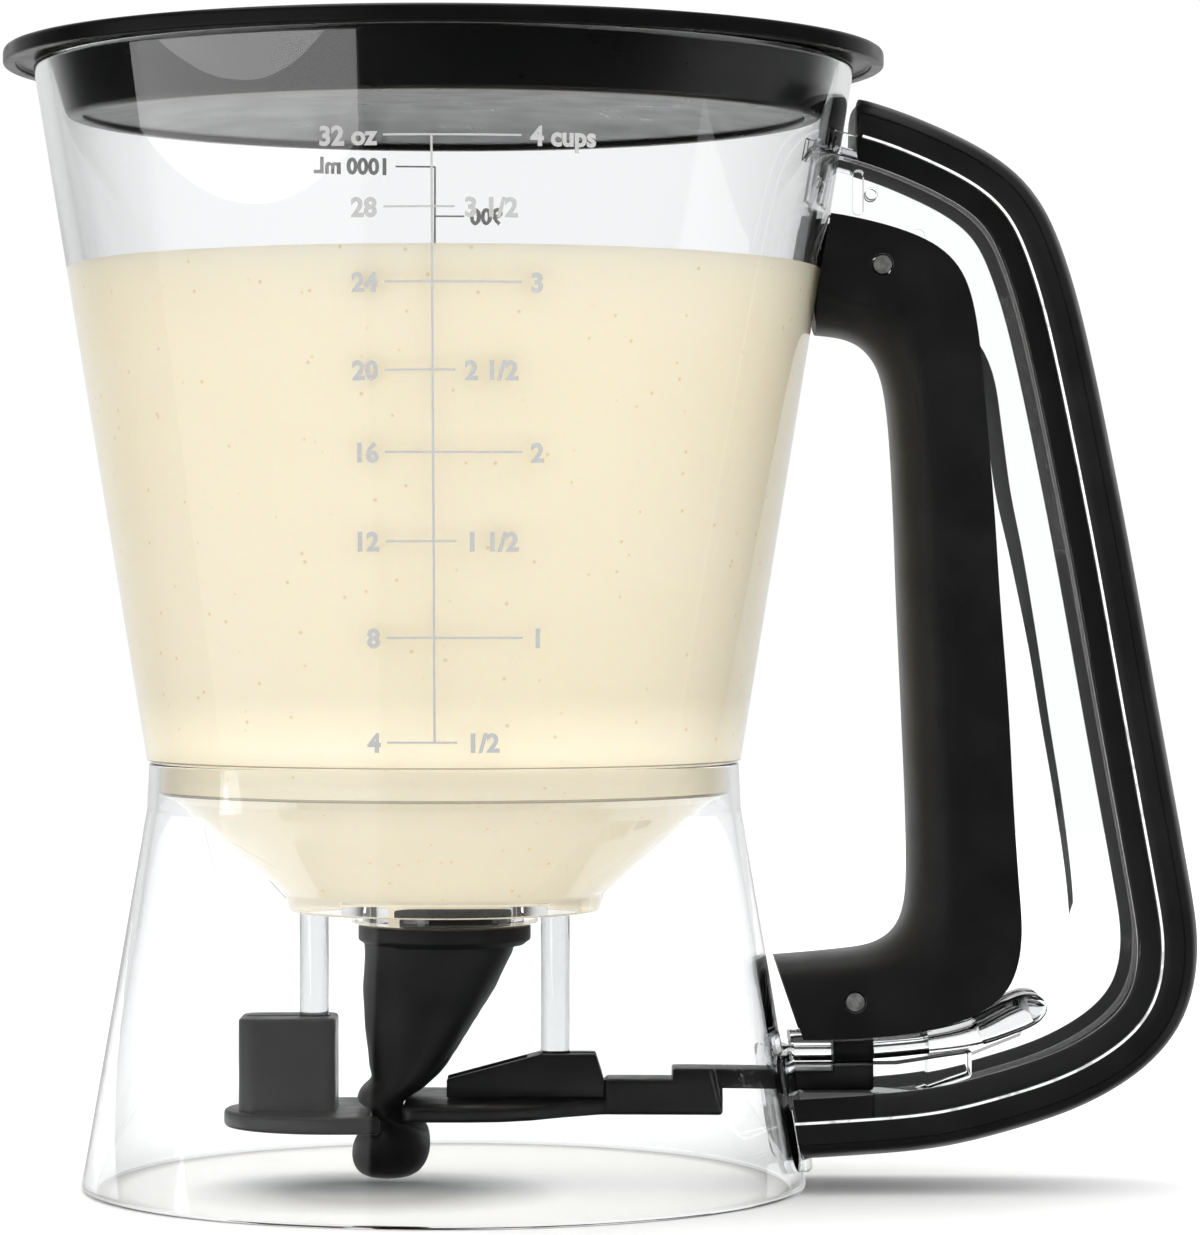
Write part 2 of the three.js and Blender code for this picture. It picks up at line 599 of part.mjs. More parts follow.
// Flattened silicone spout: rings of [height, left, right, half depth], widest where it is pinched.
function makeSiliconeValve() {
  const neckRightX = neckLeftX + neckWidth;
  const topRadius = valveFlangeRadius * 0.862;
  const flangeFootZ = outletFootZ - fitGap - valveFlangeHeight;
  const jawTopZ = jawPlateZ + jawPlateThickness;
  // Height shares run from the pinched neck up to the flange, left and right shares over the flange radius.
  const upperShares = [
    [1, -0.92, 0.862, 0.862], [0.93, -0.92, 0.83, 0.84], [0.71, -0.95, 0.587, 0.833], [0.47, -0.92, 0.297, 0.855],
    [0.3, -0.88, 0.08, 0.875], [0.2, -0.84, -0.12, 0.9], [0.155, -0.87, -0.225, 0.9],
    [0.1, -0.98, -0.33, 0.905], [0.055, -0.98, -0.47, 0.905],
  ];
  const lowerShares = [
    [0.95, -0.84, -0.27, 0.82], [0.87, -0.84, -0.2, 0.76], [0.79, -0.84, -0.18, 0.71], [0.755, -0.95, -0.175, 0.68],
    [0.62, -1.03, -0.165, 0.62],
    [0.42, -1.08, -0.175, 0.55], [0.22, -1.03, -0.26, 0.45], [0.09, -0.86, -0.46, 0.24],
  ];
  const footZ = jawPlateZ * 0.1;
  const upper = upperShares.map(([s, l, r, d]) => [
    jawTopZ + s * (flangeFootZ - jawTopZ), l * valveFlangeRadius, r * valveFlangeRadius, d * valveFlangeRadius]);
  const lower = lowerShares.map(([s, l, r, d]) => [
    footZ + s * (sliderPlateZ - footZ), l * valveFlangeRadius, r * valveFlangeRadius, d * valveFlangeRadius]);
  const neck = [
    [jawTopZ + fitGap / 2, neckLeftX, neckRightX, neckHalfDepth],
    [sliderPlateZ - fitGap / 2, neckLeftX, neckRightX, neckHalfDepth],
  ];
  const ringAt = ([z, left, right, deep], inset) => Array.from({ length: aroundValve }, (_, k) => {
    const angle = Math.PI * 2 * k / aroundValve;
    const halfX = Math.max((right - left) / 2 - inset, fitGap);
    return new THREE.Vector3(
      (left + right) / 2 + halfX * Math.cos(angle), (deep - inset) * Math.sin(angle), z);
  });
  const capOf = (ring) => ring.map((p) => [p.x, p.y]);
  const outerRings = [...upper, ...neck, ...lower].map((s) => ringAt(s, 0));
  const outer = lofted(outerRings, capOf(outerRings[0]));
  const boreRings = [[flangeFootZ + valveFlangeHeight, -topRadius, topRadius, topRadius], ...upper]
    .map((s) => ringAt(s, valveWall));
  const bore = lofted(boreRings, capOf(boreRings[0]));
  const flangeTopZ = outletFootZ - fitGap;
  const boreRadius = topRadius - valveWall;
  const flange = turned([
    [0, flangeFootZ - fitGap], [valveFlangeRadius * 0.93, flangeFootZ], [valveFlangeRadius, flangeFootZ + fitGap * 3],
    [valveFlangeRadius, flangeTopZ], [valvePlugRadius, flangeTopZ],
    [valvePlugRadius, flangeTopZ + valvePlugHeight], [0, flangeTopZ + valvePlugHeight],
  ], 48);
  const throat = uprightPin(0, Math.min(boreRadius, valvePlugRadius - valveWall * 0.8), flangeFootZ - fitGap * 2,
    rimZ);
  const slit = block((neckLeftX + neckRightX) / 2 - neckWidth, (neckLeftX + neckRightX) / 2 + neckWidth,
    fitGap, 0, jawPlateZ * 0.35);
  return cutBy(outer.add(flange), [bore, throat, slit]);
}

// Oval plate whose right edge is the fixed jaw, under a boss that the left post plugs into.
function makeFixedJaw() {
  const jawX = neckLeftX - fitGap;
  const top = jawPlateZ + jawPlateThickness;
  const cornerReach = plateHalfWidth - neckHalfDepth - fitGap;
  const middleX = jawX - plateHalfWidth * 0.35;
  const outline = new THREE.Shape();
  outline.moveTo(middleX, -plateHalfWidth);
  outline.lineTo(jawX, -plateHalfWidth);
  outline.quadraticCurveTo(jawX + cornerReach * 0.75, -plateHalfWidth, jawX + cornerReach * 0.7,
    -neckHalfDepth - cornerReach * 0.3);
  outline.lineTo(jawX, -neckHalfDepth * 0.9);
  outline.lineTo(jawX, neckHalfDepth * 0.9);
  outline.lineTo(jawX + cornerReach * 0.7, neckHalfDepth + cornerReach * 0.3);
  outline.quadraticCurveTo(jawX + cornerReach * 0.75, plateHalfWidth, jawX, plateHalfWidth);
  outline.lineTo(middleX, plateHalfWidth);
  outline.absellipse(middleX, 0, middleX - jawPlateLeftX, plateHalfWidth, Math.PI / 2, Math.PI * 3 / 2);
  const plate = solidFrom(new THREE.ExtrudeGeometry(outline, {
    depth: jawPlateThickness, bevelEnabled: false, curveSegments: 16,
  }).translate(0, 0, jawPlateZ));
  const boss = flatSlab(
    roundedRectangle(bossLeftX, bossRightX, -bossHalfWidth, bossHalfWidth, bossHalfWidth / 3), jawPlateZ, bossTopZ);
  const socketFoot = leftPostFootZ - fitGap;
  return cutBy(joined([plate, boss]), [
    uprightPin(leftPostX, postRadius + fitGap, socketFoot, bossTopZ + overrun),
    block(leftPostX - finFootReach - fitGap, leftPostX, finThickness / 2 + fitGap, socketFoot, top + overrun),
  ]);
}

// Ramp-shaped guide: two walls with inward lips that hold the slider's rib, and a socket for the right post.
function makeSliderGuide() {
  const foot = sliderPlateZ + sliderPlateThickness + fitGap;
  const socketX = rightPostX - postRadius - guideWall - fitGap;
  const side = [
    [guideStartX, foot], [guideEndX, foot], [guideEndX, guideStepZ], [guideEndX - guideWall, guideTopZ],
    [socketX, guideTopZ], [guideStartX, guideStepZ],
  ];
  const body = sideSlab(side, -guideHalfWidth, guideHalfWidth);
  const inner = guideHalfWidth - guideWall;
  const ribTop = barTopZ;
  const track = block(-overrun, overrun, inner, foot + guideWall, ribTop + fitGap);
  const neckSlot = block(-overrun, overrun, inner / 2, 0, ribTop);
  const openTop = block(-overrun, socketX - guideWall / 2, inner, foot + guideWall, overrun);
  return cutBy(body, [
    track, neckSlot, openTop,
    uprightPin(rightPostX, postRadius + fitGap, rightPostFootZ - fitGap, overrun),
    block(rightPostX, rightPostX + finFootReachRight + fitGap, finThickness / 2 + fitGap,
      rightPostFootZ - fitGap, overrun),
  ]);
}

// Moving jaw plate, its guided rib, the bar through the skirt's wall, and the riser that the lever pulls.
function makePinchSlider() {
  const jawX = neckLeftX + neckWidth + fitGap;
  const plateTop = sliderPlateZ + sliderPlateThickness;
  const halfBar = barWidth / 2;
  const broadX = (jawX + sliderPlateEndX) / 2;
  const outline = new THREE.Shape();
  outline.moveTo(jawX, -plateHalfWidth + halfBar / 2);
  outline.quadraticCurveTo(jawX, -plateHalfWidth, jawX + halfBar / 2, -plateHalfWidth);
  outline.lineTo(broadX - halfBar, -plateHalfWidth);
  outline.bezierCurveTo(broadX + halfBar, -plateHalfWidth, sliderPlateEndX - halfBar, -halfBar * 1.6,
    sliderPlateEndX, -halfBar);
  outline.lineTo(sliderPlateEndX, halfBar);
  outline.bezierCurveTo(sliderPlateEndX - halfBar, halfBar * 1.6, broadX + halfBar, plateHalfWidth,
    broadX - halfBar, plateHalfWidth);
  outline.lineTo(jawX + halfBar / 2, plateHalfWidth);
  outline.quadraticCurveTo(jawX, plateHalfWidth, jawX, plateHalfWidth - halfBar / 2);
  const plate = solidFrom(new THREE.ExtrudeGeometry(outline, {
    depth: sliderPlateThickness, bevelEnabled: false, curveSegments: 10,
  }).translate(0, 0, sliderPlateZ));
  const inner = guideHalfWidth - guideWall - fitGap;
  const guideFoot = plateTop + fitGap;
  const ribStart = guideStartX + guideWall;
  const barStart = guideEndX + fitGap;
  const parts = [
    plate,
    block(ribStart, barStart + guideWall, (guideHalfWidth - guideWall) / 2 - fitGap, sliderPlateZ,
      guideFoot + guideWall * 1.5),
    block(ribStart, barStart + guideWall, inner, guideFoot + guideWall + fitGap, barTopZ - fitGap),
    block(barStart, barEndX, halfBar, sliderPlateZ, barTopZ),
    block(sliderPlateEndX - guideWall, barStart + guideWall, halfBar, sliderPlateZ, plateTop),
    block(barEndX - barWidth, tongueEndX, halfBar, tongueFootZ, tongueTopZ),
    block(riserStartX, tongueEndX, halfBar, tongueFootZ, riserTopZ),
  ];
  const eye = roundedRectangle(
    linkX - pinRadius - fitGap, linkX + pinRadius + fitGap,
    linkZ - pinRadius - fitGap * 1.5, linkZ + pinRadius + fitGap * 1.5, pinRadius + fitGap * 0.98);
  return joined(parts).subtract(sideSlab(eye, -barWidth, barWidth));
}

// Plug lid: an overhanging rim with a hanging lip, a tapered skirt and a flat floor.
function makeLid() {
  const under = rimZ + fitGap;
  const top = under + lidThickness;
  const slope = (rimRadius - collarRadius) / coneHeight;
  const plugTop = rimRadius - vesselWall - lidPlugGap;
  const floorZ = rimZ - lidPlugDepth;
  const plugFoot = plugTop - (under - floorZ) * slope;
  const lipRadius = lidRadius - lidLipWidth;
  const round = lidThickness / 3;
  return turned([
    [0, floorZ], [plugFoot - lidFillet, floorZ], [plugFoot - lidFillet * 0.3, floorZ + lidFillet * 0.3],
    [plugFoot, floorZ + lidFillet], [plugTop, under], [lipRadius, under], [lipRadius, under - lidLipDrop],
    [lidRadius - round / 2, under - lidLipDrop], [lidRadius, under - lidLipDrop + round / 2],
    [lidRadius, top - round], [lidRadius - round, top], [plugTop, top],
    [plugTop - lidThickness, top - round], [plugFoot - lidThickness, floorZ + lidThickness * 2],
    [plugFoot - lidThickness * 2, floorZ + lidThickness], [0, floorZ + lidThickness],
  ]);
}

const jug = new THREE.Group();
jug.add(
  piece('vessel', makeVessel(), clearPlastic()),
  piece('base_skirt', makeBaseSkirt(), clearPlastic()),
  piece('handle_frame', makeHandleFrame(), clearPlastic()),
  piece('slide_rail', makeSlideRail(), clearPlastic()),
  piece('handle_grip', makeHandleGrip(), softBlack()),
  piece('trigger_lever', makeTriggerLever(), softBlack()),
  piece('pivot_pin', makePin(pivotX, pivotZ), steel()),
  piece('link_pin', makePin(linkX, linkZ), steel()),
  piece('return_spring', makeReturnSpring(), steel()),
  piece('pinch_slider', makePinchSlider(), satinBlack()),
  piece('slider_guide', makeSliderGuide(), satinBlack()),
  piece('fixed_jaw', makeFixedJaw(), satinBlack()),
  piece('silicone_valve', makeSiliconeValve(), silicone()),
  piece('lid', makeLid(), glossBlack()),
);

// The origin is the middle of the base of the whole object's box.
const box = new THREE.Box3().setFromObject(jug);
jug.position.set(-(box.min.x + box.max.x) / 2, -(box.min.y + box.max.y) / 2, -box.min.z);

const dispenser = new THREE.Group();
dispenser.add(jug);
export default dispenser;
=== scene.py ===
import math

import bmesh
import bpy
from mathutils import Matrix, Vector


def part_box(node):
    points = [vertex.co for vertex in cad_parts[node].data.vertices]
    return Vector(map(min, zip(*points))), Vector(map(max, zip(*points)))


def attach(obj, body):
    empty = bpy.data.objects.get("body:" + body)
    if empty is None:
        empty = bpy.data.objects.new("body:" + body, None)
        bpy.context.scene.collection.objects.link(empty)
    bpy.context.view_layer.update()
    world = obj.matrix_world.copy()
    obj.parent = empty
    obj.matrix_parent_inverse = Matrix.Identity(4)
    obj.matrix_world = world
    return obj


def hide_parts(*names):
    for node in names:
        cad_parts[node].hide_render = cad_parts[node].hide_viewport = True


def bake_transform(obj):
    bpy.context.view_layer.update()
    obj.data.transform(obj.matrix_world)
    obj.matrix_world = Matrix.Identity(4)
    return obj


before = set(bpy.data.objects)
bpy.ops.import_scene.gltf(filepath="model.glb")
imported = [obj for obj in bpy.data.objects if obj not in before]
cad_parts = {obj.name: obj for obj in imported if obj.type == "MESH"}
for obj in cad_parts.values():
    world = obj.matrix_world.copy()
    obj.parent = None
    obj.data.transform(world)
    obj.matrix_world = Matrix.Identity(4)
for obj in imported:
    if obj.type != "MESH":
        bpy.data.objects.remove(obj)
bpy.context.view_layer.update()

# Shapes are written in millimetres from the jug's axis, with the handle towards +X.
jugLow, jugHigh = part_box("vessel")
axisX = (jugLow.x + jugHigh.x) / 2
mm = 0.001

jug = {
    "rimRadius": 65.5,
    "waistRadius": 47.4,
    "baseRadius": 57.9,
    "skirtTop": 60.5,
    "stepZ": 68.2,
    "rimZ": 179.0,
    "gap": 0.3,  # between pieces that fit into each other
    "turns": 224,  # steps round a turned shape
}


def place(x, y, z):
    return Vector((axisX + x * mm, y * mm, z * mm))


# Mesh helpers

def finishMesh(obj, sharp=38):
    mesh = obj.data
    bm = bmesh.new()
    bm.from_mesh(mesh)
    bmesh.ops.remove_doubles(bm, verts=bm.verts, dist=2e-6)
    bmesh.ops.dissolve_degenerate(bm, edges=bm.edges, dist=1e-7)
    bmesh.ops.recalc_face_normals(bm, faces=bm.faces)
    bm.to_mesh(mesh)
    bm.free()
    mesh.shade_smooth()
    mesh.set_sharp_from_angle(angle=math.radians(sharp))
    return obj


def newObject(name, points, edges=(), faces=()):
    mesh = bpy.data.meshes.new(name)
    mesh.from_pydata(points, edges, faces)
    obj = bpy.data.objects.new(name, mesh)
    bpy.context.scene.collection.objects.link(obj)
    return obj


def loft(name, rings, sharp=38):
    count = len(rings[0])
    points = [p for ring in rings for p in ring]
    faces = []
    for i in range(len(rings) - 1):
        a, b = i * count, (i + 1) * count
        for j in range(count):
            k = (j + 1) % count
            faces.append((a + j, a + k, b + k, b + j))
    faces.append(tuple(range(count)))
    faces.append(tuple(reversed(range((len(rings) - 1) * count, len(rings) * count))))
    return finishMesh(newObject(name, [place(*p) for p in points], [], faces), sharp)


def slab(name, outline, low, high, plane="xz", sharp=38):
    orders = {"xz": lambda u, v, w: (u, w, v), "xy": lambda u, v, w: (u, v, w), "yz": lambda u, v, w: (w, u, v)}
    return loft(name, [[orders[plane](u, v, w) for u, v in outline] for w in (low, high)], sharp=sharp)


def box(name, x0, x1, y0, y1, z0, z1):
    return slab(name, [(x0, z0), (x1, z0), (x1, z1), (x0, z1)], y0, y1)


def rod(name, x, z, radius, y0, y1, turns=40):
    ring = [(x + radius * math.cos(2 * math.pi * i / turns), z + radius * math.sin(2 * math.pi * i / turns))
            for i in range(turns)]
    return slab(name, ring, y0, y1)


# Rounds the corners of a closed outline of (u, v, radius) or (u, v) points.
def rounded(points, steps=5):
    made = []
    count = len(points)
    for i, point in enumerate(points):
        p = Vector(point[:2])
        radius = point[2] if len(point) > 2 else 0
        before = Vector(points[i - 1][:2]) - p
        after = Vector(points[(i + 1) % count][:2]) - p
        if radius <= 0 or before.length < 1e-6 or after.length < 1e-6:
            made.append(tuple(p))
            continue
        angle = before.angle(after)
        if angle > math.radians(178):
            made.append(tuple(p))
            continue
        reach = min(radius / math.tan(angle / 2), before.length * 0.48, after.length * 0.48)
        a, b = p + before.normalized() * reach, p + after.normalized() * reach
        for k in range(steps + 1):
            t = k / steps
            made.append(tuple(a * (1 - t) ** 2 + p * 2 * t * (1 - t) + b * t ** 2))
    return made


# Catmull-Rom curve through points of any size, resampled to even steps and lightly relaxed.
def flowing(points, count, relax=0):
    points = [Vector(p) for p in points]
    dense = []
    last = len(points) - 1
    for i in range(last):
        a, b = points[max(i - 1, 0)], points[i]
        c, d = points[i + 1], points[min(i + 2, last)]
        for k in range(24):
            t = k / 24
            dense.append(b + (c - a) * 0.5 * t
                         + (a - b * 2.5 + c * 2 - d * 0.5) * t ** 2
                         + (b * 1.5 - a * 0.5 - c * 1.5 + d * 0.5) * t ** 3)
    dense.append(points[-1])
    even = resampled(dense, count)
    for _ in range(relax):
        even = [even[0]] + [even[i] * 0.5 + (even[i - 1] + even[i + 1]) * 0.25
                            for i in range(1, len(even) - 1)] + [even[-1]]
    return resampled(even, count)


def resampled(points, count):
    reach = [0.0]
    for a, b in zip(points, points[1:]):
        reach.append(reach[-1] + (b - a).length)
    made, j = [], 0
    for i in range(count):
        want = reach[-1] * i / (count - 1)
        while j < len(points) - 2 and reach[j + 1] < want:
            j += 1
        span = reach[j + 1] - reach[j] or 1
        made.append(points[j].lerp(points[j + 1], (want - reach[j]) / span))
    return made


# Stations along a line in X and Z, each with the normal that faces out of the handle.
def stations(line):
    made = []
    for i, p in enumerate(line):
        along = (line[min(i + 1, len(line) - 1)] - line[max(i - 1, 0)]).normalized()
        made.append((p, Vector((-along.y, along.x))))
    return made


def sweep(name, line, section, sharp=38):
    rings = [[(p.x + n.x * out, side, p.y + n.y * out) for out, side in section] for p, n in stations(line)]
    return loft(name, rings, sharp=sharp)


def applied(obj):
    depsgraph = bpy.context.evaluated_depsgraph_get()
    made = bpy.data.meshes.new_from_object(obj.evaluated_get(depsgraph))
    obj.modifiers.clear()
    old = obj.data
    obj.data = made
    made.name = obj.name
    bpy.data.meshes.remove(old)
    return obj


# Geometry Nodes: sizes are named inputs, the object's own mesh goes in and one plain mesh comes out.
class ShapeTree:
    def __init__(self, name, sizes):
        self.tree = bpy.data.node_groups.new(name, "GeometryNodeTree")
        self.tree.interface.new_socket("Geometry", in_out="OUTPUT", socket_type="NodeSocketGeometry")
        for key, kind in {"Geometry": "Geometry", **sizes, "Material": "Material"}.items():
            self.tree.interface.new_socket(key, in_out="INPUT", socket_type="NodeSocket" + kind)
        self.sizes = self.tree.nodes.new("NodeGroupInput").outputs

    # A socket's value is a number, another socket, or a node whose first output is meant.
    def add(self, kind, sockets, **settings):
        node = self.tree.nodes.new(kind)
        for key, value in settings.items():
            setattr(node, key, value)
        for key, value in sockets.items():
            if isinstance(value, bpy.types.Node):
                value = value.outputs[0]
            if isinstance(value, bpy.types.NodeSocket):
                self.tree.links.new(value, node.inputs[key])
            else:
                node.inputs[key].default_value = value
        return node

    def calc(self, operation, first, second=0.0):
        return self.add("ShaderNodeMath", {0: first, 1: second}, operation=operation)

    def finish(self, geometry):
        plain = self.add("GeometryNodeRealizeInstances", {"Geometry": geometry})
        painted = self.add("GeometryNodeSetMaterial", {"Geometry": plain, "Material": self.sizes["Material"]})
        self.add("NodeGroupOutput", {"Geometry": painted})
        return self

    def grow(self, obj, material=None, sharp=38, **sizes):
        modifier = obj.modifiers.new("shape", "NODES")
        modifier.node_group = self.tree
        values = {**sizes, "Material": material}
        for item in self.tree.interface.items_tree:
            if item.in_out == "INPUT" and item.name in values:
                modifier[item.identifier] = values[item.name]
        return finishMesh(applied(obj), sharp)


# Carries a closed profile, drawn flat with radius along X and height along Y, round an upright axis.
def turningTree():
    pathRadius = 0.05  # any size will do, since the profile's radius is counted from it
    shape = ShapeTree("turning", {"Steps": "Int", "Centre": "Vector"})
    profile = shape.add("GeometryNodeMeshToCurve", {"Mesh": shape.sizes["Geometry"]})
    profile = shape.add("GeometryNodeTransform", {
        "Geometry": profile, "Translation": (-pathRadius, 0, 0), "Scale": (1, -1, 1)})
    path = shape.add("GeometryNodeCurvePrimitiveCircle", {
        "Resolution": shape.sizes["Steps"], "Radius": pathRadius})
    path = shape.add("GeometryNodeSetCurveNormal", {"Curve": path}, mode="Z_UP")
    shell = shape.add("GeometryNodeCurveToMesh", {"Curve": path, "Profile Curve": profile})
    return shape.finish(shape.add("GeometryNodeTransform", {
        "Geometry": shell, "Translation": shape.sizes["Centre"]}))


# Sets a block at each point, turned to the direction that the point carries.
def blockTree():
    shape = ShapeTree("blocks", {"Size": "Vector", "Columns": "Int", "Rows": "Int"})
    block = shape.add("GeometryNodeMeshCube", {
        "Size": shape.sizes["Size"], "Vertices X": shape.sizes["Columns"], "Vertices Z": shape.sizes["Rows"]})
    facing = shape.add("GeometryNodeInputNamedAttribute", {"Name": "facing"}, data_type="FLOAT_VECTOR")
    turn = shape.add("FunctionNodeAlignRotationToVector", {"Vector": facing}, axis="X")
    return shape.finish(shape.add("GeometryNodeInstanceOnPoints", {
        "Points": shape.sizes["Geometry"], "Instance": block, "Rotation": turn}))


# Lays a flat drawing, X along the wall, Y out of it and Z up it, on a cone of the radius at its foot.
def wrappingTree():
    shape = ShapeTree("wrapping", {
        "Radius": "Float", "Foot": "Float", "Flare": "Float", "Side": "Float", "Centre": "Vector"})
    flat = shape.add("ShaderNodeSeparateXYZ", {"Vector": shape.add("GeometryNodeInputPosition", {})}).outputs
    rise = shape.calc("SUBTRACT", flat["Z"], shape.sizes["Foot"])
    radius = shape.calc("ADD", shape.sizes["Radius"], shape.calc("MULTIPLY", rise, shape.sizes["Flare"]))
    angle = shape.calc("DIVIDE", flat["X"], radius)
    reach = shape.calc("MULTIPLY", shape.calc("ADD", radius, flat["Y"]), shape.sizes["Side"])
    across = shape.calc("MULTIPLY", shape.calc("MULTIPLY", reach, shape.calc("SINE", angle)), -1.0)
    away = shape.calc("MULTIPLY", reach, shape.calc("COSINE", angle))
    onCone = shape.add("ShaderNodeCombineXYZ", {"X": across, "Y": away, "Z": flat["Z"]})
    return shape.finish(shape.add("GeometryNodeSetPosition", {
        "Geometry": shape.sizes["Geometry"], "Position": onCone, "Offset": shape.sizes["Centre"]}))


turning, blocks, wrapping = turningTree(), blockTree(), wrappingTree()


def turned(name, profile, turns=None, centre=(0, 0), sharp=38):
    edges = [(i, (i + 1) % len(profile)) for i in range(len(profile))]
    outline = newObject(name, [(radius * mm, z * mm, 0) for radius, z in profile], edges)
    return turning.grow(outline, sharp=sharp, Steps=turns or jug["turns"], Centre=place(*centre, 0))


def combine(obj, others, operation, sharp=38):
    for other in others:
        modifier = obj.modifiers.new("combine", "BOOLEAN")
        modifier.operation = operation
        modifier.solver = "EXACT"
        modifier.object = other
        applied(obj)
        bpy.data.objects.remove(other)
    return finishMesh(obj, sharp)


def fused(obj, others, sharp=38):
    return combine(obj, others, "UNION", sharp)


def carved(obj, cutters, sharp=38):
    return combine(obj, cutters, "DIFFERENCE", sharp)


def softened(obj, width, segments=3, angle=40, sharp=38):
    modifier = obj.modifiers.new("soften", "BEVEL")
    modifier.width = width * mm
    modifier.segments = segments
    modifier.limit_method = "ANGLE"
    modifier.angle_limit = math.radians(angle)
    modifier.miter_outer = "MITER_ARC"
    applied(obj)
    return finishMesh(obj, sharp)


# Lets the large faces set the normals, so that long smooth walls stay true beside their fillets.
def evened(obj):
    modifier = obj.modifiers.new("evened", "WEIGHTED_NORMAL")
    modifier.mode = "FACE_AREA"
    modifier.weight = 100
    modifier.keep_sharp = True
    return applied(obj)


# Solid of everything inside the jug's outer wall, grown by a gap.
def insideWall(gap):
    return turned("insideWall", [
        (0, -40), (jug["baseRadius"] + gap, -40), (jug["baseRadius"] + gap, 0),
        (jug["waistRadius"] + gap, jug["skirtTop"]), (jug["waistRadius"] + gap, jug["stepZ"]),
        (jug["rimRadius"] + gap, jug["rimZ"]), (jug["rimRadius"] + gap, 220), (0, 220),
    ])


# Marks give the faces that a test picks, by their place in millimetres, a material of their own.
def dressed(obj, material, body, node=None, marks=()):
    obj.data.materials.clear()
    obj.data.materials.append(material)
    for index, (other, picked) in enumerate(marks, 1):
        obj.data.materials.append(other)
        for face in obj.data.polygons:
            p = face.center / mm
            if picked(p.x - axisX / mm, p.y, p.z):
                face.material_index = index
    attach(obj, body)
    if node:
        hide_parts(node)
    return obj


# Shader helpers

class Shader:
    def __init__(self, name):
        self.material = bpy.data.materials.new(name)
        self.material.use_nodes = True
        self.tree = self.material.node_tree
        self.main = self.tree.nodes["Principled BSDF"]

    def set(self, **values):
        names = {
            "rough": "Roughness", "metal": "Metallic", "clear": "Transmission Weight", "ior": "IOR",
            "shine": "Specular IOR Level", "under": "Subsurface Weight", "underRadius": "Subsurface Radius",
            "underScale": "Subsurface Scale", "coat": "Coat Weight", "sheen": "Sheen Weight",
            "sheenRough": "Sheen Roughness", "alpha": "Alpha",
        }
        for key, value in values.items():
            self.main.inputs[names[key]].default_value = value
        return self

    def add(self, kind, **values):
        node = self.tree.nodes.new(kind)
        for key, value in values.items():
            if hasattr(node, key):
                setattr(node, key, value)
            else:
                node.inputs[key.replace("_", " ")].default_value = value
        return node

    def link(self, source, target):
        self.tree.links.new(source, target)

    def noise(self, scale, detail=3.0, rough=0.5, stretch=(1, 1, 1)):
        where = self.add("ShaderNodeTexCoord")
        turn = self.add("ShaderNodeMapping")
        turn.inputs["Scale"].default_value = stretch
        grain = self.add("ShaderNodeTexNoise", Scale=scale, Detail=detail, Roughness=rough)
        self.link(where.outputs["Object"], turn.inputs["Vector"])
        self.link(turn.outputs["Vector"], grain.inputs["Vector"])
        return grain.outputs["Fac"]

    def spread(self, source, low, high, start=0.3, end=0.7):
        ramp = self.add("ShaderNodeMapRange")
        ramp.inputs["From Min"].default_value = start
        ramp.inputs["From Max"].default_value = end
        ramp.inputs["To Min"].default_value = low
        ramp.inputs["To Max"].default_value = high
        self.link(source, ramp.inputs["Value"])
        return ramp.outputs["Result"]

    def tint(self, source, low, high, start=0.3, end=0.7):
        ramp = self.add("ShaderNodeValToRGB")
        ramp.color_ramp.elements[0].position = start
        ramp.color_ramp.elements[1].position = end
        ramp.color_ramp.elements[0].color = (*low, 1)
        ramp.color_ramp.elements[1].color = (*high, 1)
        self.link(source, ramp.inputs["Fac"])
        return ramp.outputs["Color"]

    def bump(self, source, strength, distance):
        node = self.add("ShaderNodeBump", Strength=strength, Distance=distance)
        self.link(source, node.inputs["Height"])
        self.link(node.outputs["Normal"], self.main.inputs["Normal"])


def clearPlastic(name="clearPlastic", clear=1.0, face=(0.985, 0.992, 0.995), edge=(0.7, 0.725, 0.735),
                 start=0.66, end=0.98):
    look = {"roughLow": 0.0, "roughHigh": 0.035, "ripple": 0.05, "ior": 1.5}
    s = Shader(name).set(clear=clear, ior=look["ior"])
    # The colour darkens towards grazing angles: painted shade along the edges of the clear walls.
    slope = s.add("ShaderNodeLayerWeight", Blend=0.5)
    s.link(s.tint(slope.outputs["Facing"], face, edge, start, end), s.main.inputs["Base Color"])
    s.link(s.spread(s.noise(60, 4), look["roughLow"], look["roughHigh"], 0.55, 0.8), s.main.inputs["Roughness"])
    s.bump(s.noise(22, 1.5), look["ripple"], 0.0012)
    return s.material


